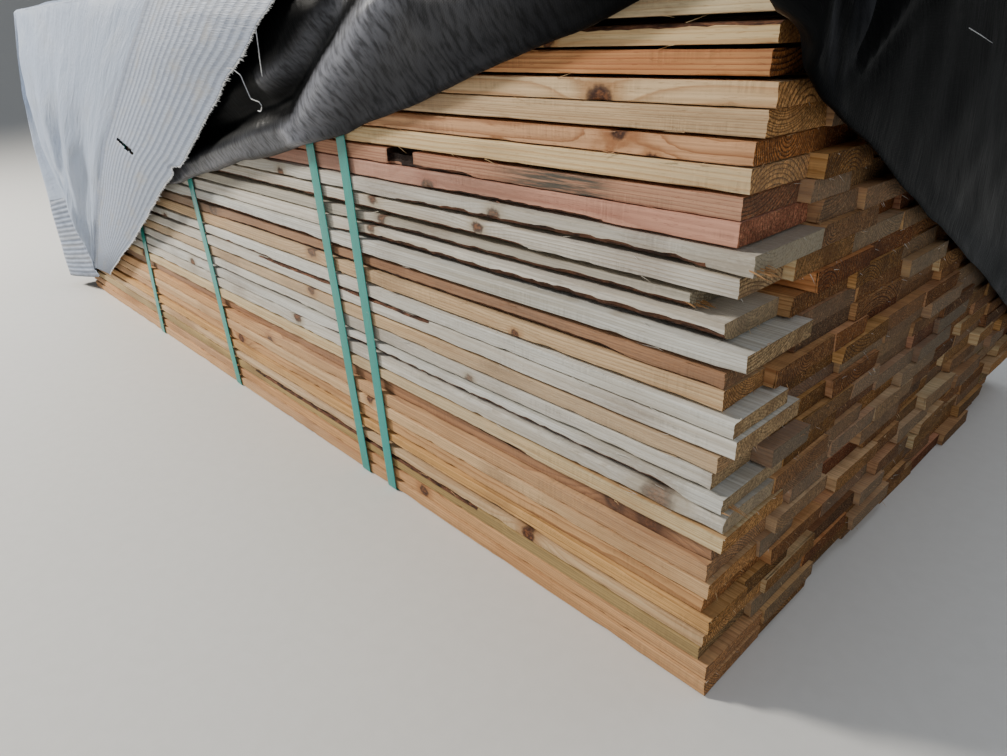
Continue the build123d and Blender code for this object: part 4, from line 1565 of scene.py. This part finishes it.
def side_stand(distance, height, edge):
    """How far the turned-back part stands out from the long side."""
    above = height - edge
    stand = 9 * MM + FLAP_STAND * (1 - np.exp(-above / (42 * MM)))
    stand = stand + 26 * MM * np.exp(-distance / (26 * MM))
    for line, crest, width in CRESTS:
        stand = stand + line_relief(distance, height, line, crest, width)
    spot = spots(distance, height)
    stand = stand + noise(spot, 0.07, 61) * 0.0024 + noise(spot, 0.03, 62) * 0.0009
    near_top = smooth_step(0.775, 0.865, height)
    stand = stand * (1 - 0.55 * near_top)
    # It passes under the border's torn edge
    room = run_of(BORDER_FRAY, height / MM, 2) * MM - UNDER_BORDER
    under = smooth_step(-0.07, 0.0, distance - run_of(BORDER_FRAY, height / MM, 0) * MM)
    stand = stand + (np.minimum(stand, room) - stand) * under
    return np.clip(stand, 4 * MM, MOST_STAND)


def gathered_fold(across, height, top, width):
    """How much of one gathered fold shows at some places of the open end, from 0 to 1."""
    foot_a, foot_h = GATHER_POINT[0] * MM, GATHER_POINT[1] * MM
    climb = np.clip((height - foot_h) / (830 * MM - foot_h), 0, 1.3)
    middle = foot_a + (top * MM - foot_a) * climb
    grown = smooth_step(0.0, 0.5, climb) * (0.55 + 0.45 * climb)
    return grown * np.exp(-(((across - middle) / (width * MM * (0.35 + 0.8 * climb))) ** 2))


def end_stand(across, height, edge):
    """How far the turned-back part stands out from the open end: folds gathered at one point, then taut."""
    above = height - edge
    stand = 5 * MM + END_STAND * (1 - np.exp(-above / (30 * MM)))
    for top, crest, width in GATHERS:
        stand = stand + crest * MM * gathered_fold(across, height, top, width)
    spot = spots(across, height)
    broad = noise(spots(across + height * 0.5, height * 0.35), 0.3, 63) * 0.007
    stand = stand + broad * smooth_step(0.12, 0.4, across) + noise(spot, 0.06, 64) * 0.0016
    pinch = np.hypot(across - GATHER_POINT[0] * MM, height - GATHER_POINT[1] * MM)
    stand = stand + 7 * MM * np.exp(-((pinch / (22 * MM)) ** 2))
    stand = stand + 10 * MM * np.exp(-across / (48 * MM))
    near_top = smooth_step(0.79, 0.865, height)
    return np.clip(stand * (1 - 0.35 * near_top), 3 * MM, 42 * MM)


def border_middle(x, y, z):
    """How far points lie past the border's middle line, where a sheet below it is out of sight."""
    height = (z - BOARDS_BOTTOM) / MM
    middle = (0.36 * run_of(BORDER_FOLD, height, 0) + 0.64 * run_of(BORDER_FRAY, height, 0)) * MM
    return OPEN_END - x - middle + BORDER_TOP_SLANT * np.maximum(y - LONG_SIDE, 0)


def drop_loose(piece, merge=0.0):
    """Takes away points that no face uses, and merges those that coincide."""
    work = bmesh.new()
    work.from_mesh(piece.data)
    bmesh.ops.delete(work, geom=[vertex for vertex in work.verts if not vertex.link_faces], context="VERTS")
    if merge:
        bmesh.ops.remove_doubles(work, verts=work.verts, dist=merge)
    work.to_mesh(piece.data)
    work.free()


def painted_light_of(part, place, edge, column, past_edge):
    """How much painted highlight each point of a column gets, and how much its reflection is lowered as
    painted shade: two values and a spare one.
    """
    painted_light = np.zeros((len(column), 3))
    if part == "side":
        above = column[:, 2] - BOARDS_BOTTOM
        past = place - run_of(HOLLOW_SIDE, above / MM, 0) * MM
        over_foot = above - run_of(HOLLOW_FOOT, place / MM, 1, 0) * MM
        painted_shade = smooth_step(-0.004, 0.010, past) * smooth_step(-0.006, 0.018, over_foot)
        # Painted highlights along the crest lines, taken away in the hollow
        for line, pale, width in PAINTED_SHEEN_LINES:
            painted_light[:, 0] += line_relief(np.full(len(above), place), above, line, pale / MM, width)
        crest = line_relief(np.full(len(above), place), above, PAINTED_SHEEN_LINES[2][0], 1 / MM, 16)
        painted_light[:, 0] *= 1 - painted_shade * (1 - crest)
        # Low by the fold, away from the corner, the reflection is lowered as painted shade
        low_down = (1 - smooth_step(0.0, 0.10, above - edge)) * (1 - smooth_step(0.60, 0.74, place))
        painted_light[:, 1] = np.maximum(painted_shade * (1 - 0.5 * crest), 0.75 * low_down)
    else:
        # On the open end and round the corner the reflection is lowered as painted shade
        painted_light[:, 1] = 0.7 if part == "end" else 0.7 * place
        if part == "end":
            # Painted highlights on some gathered folds
            for top, pale, width in PAINTED_PLEAT_SHEEN:
                painted_light[:, 0] += pale * gathered_fold(place, column[:, 2] - BOARDS_BOTTOM, top, width)
    # On top the painted highlight is taken away and the reflection evenly lowered as painted shade
    inwards = smooth_step(0.0, 0.06, past_edge)
    painted_light[:, 0] *= 1 - inwards
    painted_light[:, 1] += (0.7 - painted_light[:, 1]) * inwards
    return painted_light


def flap_column(base, out, edge, inner, part, place, run):
    """Points of one column, from behind the fold up and in over the top, and how many are on the wall."""
    top_edge = WRAP_TOP - BOARDS_BOTTOM
    stand_of = {"side": side_stand, "end": end_stand}.get(part)

    def stands(heights):
        """Stand of this column at some heights."""
        heights = np.asarray(heights, float)
        if stand_of is not None:
            return stand_of(np.full(heights.shape, place), heights, edge)
        full = np.interp(place * 8, np.arange(1, 8), CORNER_STAND) * MM
        grown = 1 - 0.2 * np.exp(-(heights - edge) / (14 * MM))
        return full * grown * (1 - 0.45 * smooth_step(0.8, 0.865, heights))

    rows = []
    # The layer that hangs down behind, white side out
    for height in np.linspace(top_edge - 4 * MM, edge + 10 * MM, 5):
        rows.append((LAYER_BEHIND, height))
    # The roll at the fold
    start_height = edge + 14 * MM
    outer = float(stands([start_height])[0])
    for step in range(1, FLAP_ROLL_ROWS):
        angle = math.pi * step / FLAP_ROLL_ROWS
        middle = (LAYER_BEHIND + outer) / 2
        stand = middle - (outer - LAYER_BEHIND) / 2 * math.cos(angle)
        rows.append((stand, edge + ROLL_RISE - ROLL_RISE * math.sin(angle)))
    heights = start_height + (top_edge - start_height) * np.linspace(0, 1, FLAP_FACE_ROWS) ** 0.92
    rows += list(zip(stands(heights), heights))
    on_wall = [(*(base + out * stand), BOARDS_BOTTOM + height) for stand, height in rows]
    over = []
    last = np.array(on_wall[-1])
    lift = 8 * MM + 5 * MM * noise_at(run, 0.11, 67)
    edge_radius = max(rows[-1][0], 6 * MM)
    for step in range(1, FLAP_OVER_ROWS + 1):
        angle = math.pi / 2 * step / FLAP_OVER_ROWS
        back = edge_radius * (1 - math.cos(angle)) + 4 * MM * step / FLAP_OVER_ROWS
        over.append((*(last[:2] - out * back), last[2] + lift * math.sin(angle)))
    start = np.array(over[-1])
    reach_jag = 1 + 0.07 * noise_at(run, 0.12, 68) + 0.012 * noise_at(run, 0.02, 69)
    if part == "side":
        reach_jag *= 1 - 0.3 * smooth_step(0.5, 0.72, place)
    shares = np.linspace(0, 1, FLAP_TOP_ROWS + 1)[1:, None]
    flat = start[:2] + (inner - start[:2]) * shares * reach_jag
    relief = 0.006 * noise(flat, 0.11, 70) + 0.0035 * noise(flat, 0.045, 75) + 0.006
    relief += creases(flat, 0.13, 76, 6) * 0.006
    base_height = WRAP_TOP + roof_relief(flat[:, 0], flat[:, 1]) + FLAP_OVER_ROOF
    beyond = border_middle(flat[:, 0], flat[:, 1], np.full(len(flat), 1.0)) + 0.30
    relief = relief * (1 - smooth_step(0.0, 0.08, beyond))
    settle_down = smooth_step(0.0, 0.35, shares[:, 0])
    settled = base_height + relief * (1 - 0.85 * shares[:, 0] ** 6)
    height = start[2] * (1 - settle_down) + settled * settle_down
    on_top = np.column_stack([flat, np.maximum(height, base_height)])
    column = np.concatenate([np.array(on_wall), np.array(over), on_top])
    return column, len(on_wall)


def turned_back(materials):
    """The torn corner of the wrap, folded up over itself with its black side out, and laid on top."""
    grid, cloth, scuff = [], [], []
    run = 0.0
    last_base = None
    for base, out, edge, inner, part, place in flap_columns():
        out = np.array(out)
        if last_base is not None:
            run += float(np.linalg.norm(base - last_base))
        last_base = base
        edge = edge + 0.003 * noise_at(run, 0.06, 65) + 0.004 * noise_at(run, 0.23, 66)
        column, on_wall = flap_column(base, out, edge, inner, part, place, run)
        grid.append(column)
        down = way_along(column)
        cloth.append(on_cloth(run, down))
        scuff.append(painted_light_of(part, place, edge, column, down - down[on_wall - 1]))
    grid, cloth, scuff = np.array(grid), np.array(cloth), np.array(scuff)
    gathered = Gathered()
    columns, rows = grid.shape[:2]
    hidden = border_middle(grid[..., 0], grid[..., 1], grid[..., 2]).ravel() > 0
    faces = [face[::-1] for face in grid_faces(columns, rows) if not hidden[list(face)].all()]
    gathered.take(grid.reshape(-1, 3), faces, 0, cloth=cloth.reshape(-1, 3), scuff=scuff.reshape(-1, 3))
    piece = gathered.become("wrap_turned_back", materials, crease=math.radians(60))
    drop_loose(piece)
    as_sheet(piece, 1)
    return piece, grid


def thread(gathered, points, radius):
    """A thin three-sided thread through some points."""
    points = [Vector(p) for p in points]
    rings = []
    for number, middle in enumerate(points):
        ahead = points[min(number + 1, len(points) - 1)] - points[max(number - 1, 0)]
        side = ahead.cross(Vector((0.4, 0.3, 1.0))).normalized() * radius
        other = ahead.cross(side).normalized() * radius
        shrink = 1.0 if number < len(points) - 1 else 0.4
        for turn in range(3):
            angle = 2 * math.pi * turn / 3
            rings.append(middle + (side * math.cos(angle) + other * math.sin(angle)) * shrink)
    faces = grid_faces(len(points), 3, closed=True)
    end = (len(points) - 1) * 3
    faces += [(2, 1, 0), (end, end + 1, end + 2)]
    gathered.take(rings, faces, 0)


LOOSE_THREADS = [
    # Points as (distance, height, stand)
    [(800, 776, 54), (796, 740, 57), (800, 705, 56)],
    [
        (925, 716, 54), (900, 716, 57), (872, 706, 57), (862, 690, 57), (850, 672, 57), (822, 668, 57),
        (815, 662, 57), (822, 654, 57), (832, 655, 57),
    ],
]
END_SLIT = [(326, 744, 30), (372, 736, 30), (420, 727, 30)]


def jitter(dice, most):
    """A small shift of up to so many mm each way."""
    return Vector([dice.uniform(-most, most) * MM for _ in range(3)])


def frayed_threads(border, flap, material):
    """Tape ends along the border's torn edge, threads along the turned-back edge, and the loose threads."""
    gathered = Gathered()
    dice = random.Random("fray")
    edge = border[:, -1]
    inner = border[:, -8]
    for number in range(len(edge) - 1):
        for _ in range(7):
            share = dice.random()
            root = edge[number] * (1 - share) + edge[number + 1] * share
            way = edge[number] - inner[number]
            way = Vector(way / np.linalg.norm(way))
            length = dice.uniform(2, 8) * MM * (2.2 if dice.random() < 0.06 else 1)
            end = Vector(root) + way * length + jitter(dice, 1.6)
            middle = Vector(root) + way * length * 0.5 + jitter(dice, 0.6)
            thread(gathered, [Vector(root) - way * 1.5 * MM, middle, end], dice.uniform(0.35, 0.7) * MM)
    ragged = flap[:, -1]
    before = flap[:, -3]
    for number in range(len(ragged)):
        for _ in range(2):
            way = Vector(ragged[number] - before[number]).normalized()
            shift = (dice.uniform(-6, 6) * MM, dice.uniform(-6, 6) * MM, 0.4 * MM)
            root = Vector(ragged[number]) + Vector(shift)
            end = root + way * dice.uniform(3, 12) * MM
            end += Vector((dice.uniform(-2, 2), dice.uniform(-2, 2), dice.uniform(0, 1.5))) * MM
            thread(gathered, [root - way * 4 * MM, (root + end) / 2, end], dice.uniform(0.3, 0.5) * MM)
    for rows in LOOSE_THREADS:
        points = outline(rows, np.linspace(0, 1, 4 * len(rows)))
        thread(gathered, points, 0.9 * MM)
    slit = [
        (FURTHEST_BOARD + stand * MM - 4 * MM, LONG_SIDE + across * MM, BOARDS_BOTTOM + height * MM)
        for across, height, stand in END_SLIT
    ]
    thread(gathered, slit, 0.5 * MM)
    piece = gathered.become("frayed_threads", [material])
    return settle(piece, "woven_wrap")


# Stage

# Soft lights: name, place, size in metres, power as a share of the key's, colour
STAGE_LIGHTS = [
    ("key", (-3.9, -3.1, 3.3), 0.9, 1.0, (1.0, 0.95, 0.86)),
    ("top", (0.6, 0.8, 4.2), 3.0, 0.13, (0.92, 0.96, 1.0)),
    ("fill", (4.2, -2.4, 2.4), 2.4, 0.07, (0.95, 0.97, 1.0)),
]
LIT_POINT = Vector((0.2, -0.2, 0.4))
FLOOR_RINGS = (0.01, 2.0, 4.0, 7.0)
FLOOR_RADIUS = 10.0
BACKDROP_RADIUS = 7.0
BACKDROP_STEPS = 24
FLOOR_SPOKES = 96


def studio_floor():
    """The floor: flat for 10 m all round, then curving up into a pale backdrop without a horizon."""
    rings = [(radius, 0.0) for radius in FLOOR_RINGS]
    for step in range(BACKDROP_STEPS + 1):
        bend = math.pi / 2 * step / BACKDROP_STEPS
        out, up = BACKDROP_RADIUS * math.sin(bend), BACKDROP_RADIUS * (1 - math.cos(bend))
        rings.append((FLOOR_RADIUS + out, up))
    points = []
    for radius, height in rings:
        for spoke in range(FLOOR_SPOKES):
            angle = 2 * math.pi * spoke / FLOOR_SPOKES
            points.append((radius * math.cos(angle), radius * math.sin(angle), height))
    faces = [face[::-1] for face in grid_faces(len(rings), FLOOR_SPOKES, closed=True)]
    gathered = Gathered()
    gathered.take(points, [*faces, tuple(range(FLOOR_SPOKES))], 0)
    floor = gathered.become("studio_floor", [plain_floor()], crease=math.pi)


def photo_eye():
    """The camera at the photograph's angle."""
    camera = bpy.data.cameras.new("photo_eye")
    camera.sensor_width = 36.0
    camera.lens = EYE_FOCUS / PHOTO_WIDTH * camera.sensor_width
    camera.clip_start = 0.01
    eye = bpy.data.objects.new("photo_eye", camera)
    turn = Matrix.Rotation(EYE_YAW, 4, "Z") @ Matrix.Rotation(math.pi / 2 - EYE_PITCH, 4, "X")
    turn = turn @ Matrix.Rotation(EYE_ROLL, 4, "Z")
    eye.matrix_world = Matrix.Translation(EYE) @ turn
    bpy.context.scene.collection.objects.link(eye)
    return eye


# Add-on


class BoardSettings(bpy.types.PropertyGroup):
    """Settings of the boards' finish."""

    sliver_layers: bpy.props.BoolProperty(
        name="Splinters", description="Add loose splinters and saw fuzz", default=True
    )


class StrapSettings(bpy.types.PropertyGroup):
    """Sizes of the bands."""

    width: bpy.props.FloatProperty(
        name="Width", description="Width of the band", default=25.4 * MM, min=0.01, unit="LENGTH"
    )
    thickness: bpy.props.FloatProperty(
        name="Thickness", description="Thickness of the band", default=1.0 * MM, min=0.0004, unit="LENGTH"
    )


class StageSettings(bpy.types.PropertyGroup):
    """Light of the stage."""

    key_power: bpy.props.FloatProperty(
        name="Key power", description="Power of the large soft light", default=490.0, min=0.0, unit="POWER"
    )
    sky_strength: bpy.props.FloatProperty(
        name="Sky strength", description="Strength of the even light from all round", default=0.27, min=0.0
    )
    sky_colour: bpy.props.FloatVectorProperty(
        name="Sky colour",
        description="Colour of the even light",
        subtype="COLOR",
        default=(0.86, 0.92, 1.0),
    )


class LUMBER_OT_boards(bpy.types.Operator):
    """Build the sawn boards of every layer, with their grain, wane, knots and splinters"""

    bl_idname = "lumber.boards"
    bl_label = "Boards"

    def execute(self, context):
        materials = [sawn_softwood(), sawn_end_grain(), bark_wane()]
        for node in LAYERS:
            dress_layer(node, materials)
        if context.scene.lumber_boards.sliver_layers:
            splinters(materials[0])
        return {"FINISHED"}


class LUMBER_OT_straps(bpy.types.Operator):
    """Build the flat bands round the bundle"""

    bl_idname = "lumber.straps"
    bl_label = "Straps"

    def execute(self, context):
        material = strap_plastic()
        for node, lean in zip(STRAPS, STRAP_LEAN, strict=True):
            settings = context.scene.lumber_straps
            dress_strap(node, lean, material, settings.width, settings.thickness)
        return {"FINISHED"}


class LUMBER_OT_wrap(bpy.types.Operator):
    """Build the torn wrap: white sheet, ribbed border, turned-back part and frayed threads"""

    bl_idname = "lumber.wrap"
    bl_label = "Wrap"

    def execute(self, context):
        white, ribbed, black, threads = wrap_outside(), wrap_border(), wrap_inside(), frayed_tape()
        gathered = Gathered()
        main_sheet(gathered)
        border = ribbed_border(gathered)
        sheet = gathered.become("wrap_sheet", [white, ribbed, black, black], crease=math.radians(60))
        drop_loose(sheet, merge=0.05 * MM)
        as_sheet(sheet, TO_UNDERSIDE)
        settle(sheet, "woven_wrap", WRAP)
        flap, flap_grid = turned_back([black, white])
        settle(flap, "woven_wrap", WRAP)
        fray = frayed_threads(border, flap_grid, threads)
        return {"FINISHED"}


class LUMBER_OT_stage(bpy.types.Operator):
    """Build the floor, the soft light and the camera at the photograph's angle"""

    bl_idname = "lumber.stage"
    bl_label = "Stage"

    def execute(self, context):
        settings = context.scene.lumber_stage
        studio_floor()
        world = bpy.data.worlds.new("soft_studio")
        world.use_nodes = True
        background = world.node_tree.nodes["Background"]
        background.inputs["Color"].default_value = (*settings.sky_colour, 1.0)
        background.inputs["Strength"].default_value = settings.sky_strength
        context.scene.world = world
        for name, place, size, share, colour in STAGE_LIGHTS:
            light = bpy.data.lights.new(name, "AREA")
            light.size = size
            light.energy = settings.key_power * share
            light.color = colour
            lamp = bpy.data.objects.new(name, light)
            lamp.location = place
            lamp.rotation_euler = (LIT_POINT - Vector(place)).to_track_quat("-Z", "Y").to_euler()
            context.scene.collection.objects.link(lamp)
        context.scene.camera = photo_eye()
        return {"FINISHED"}


class LUMBER_PT_panel(bpy.types.Panel):
    """Lists the pieces that can be built"""

    bl_idname = "LUMBER_PT_panel"
    bl_label = "Lumber Stack"
    bl_space_type = "VIEW_3D"
    bl_region_type = "UI"
    bl_category = "Lumber"

    def draw(self, context):
        for operator in OPERATORS:
            self.layout.operator(operator.bl_idname)
        self.layout.prop(context.scene.lumber_boards, "sliver_layers")
        self.layout.prop(context.scene.lumber_straps, "width")
        self.layout.prop(context.scene.lumber_straps, "thickness")
        self.layout.prop(context.scene.lumber_stage, "key_power")
        self.layout.prop(context.scene.lumber_stage, "sky_strength")
        self.layout.prop(context.scene.lumber_stage, "sky_colour")


OPERATORS = (LUMBER_OT_boards, LUMBER_OT_straps, LUMBER_OT_wrap, LUMBER_OT_stage)
SETTINGS = {"lumber_boards": BoardSettings, "lumber_straps": StrapSettings, "lumber_stage": StageSettings}


def register():
    """Makes the settings, operators and panel known to Blender."""
    for name, group in SETTINGS.items():
        bpy.utils.register_class(group)
        setattr(bpy.types.Scene, name, bpy.props.PointerProperty(type=group))
    for operator in OPERATORS:
        bpy.utils.register_class(operator)
    bpy.utils.register_class(LUMBER_PT_panel)


def unregister():
    """Takes them away again."""
    bpy.utils.unregister_class(LUMBER_PT_panel)
    for operator in reversed(OPERATORS):
        bpy.utils.unregister_class(operator)
    for name, group in SETTINGS.items():
        delattr(bpy.types.Scene, name)
        bpy.utils.unregister_class(group)


def main():
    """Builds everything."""
    register()
    bpy.ops.lumber.boards()
    bpy.ops.lumber.straps()
    bpy.ops.lumber.wrap()
    bpy.ops.lumber.stage()


if __name__ == "__main__":
    main()
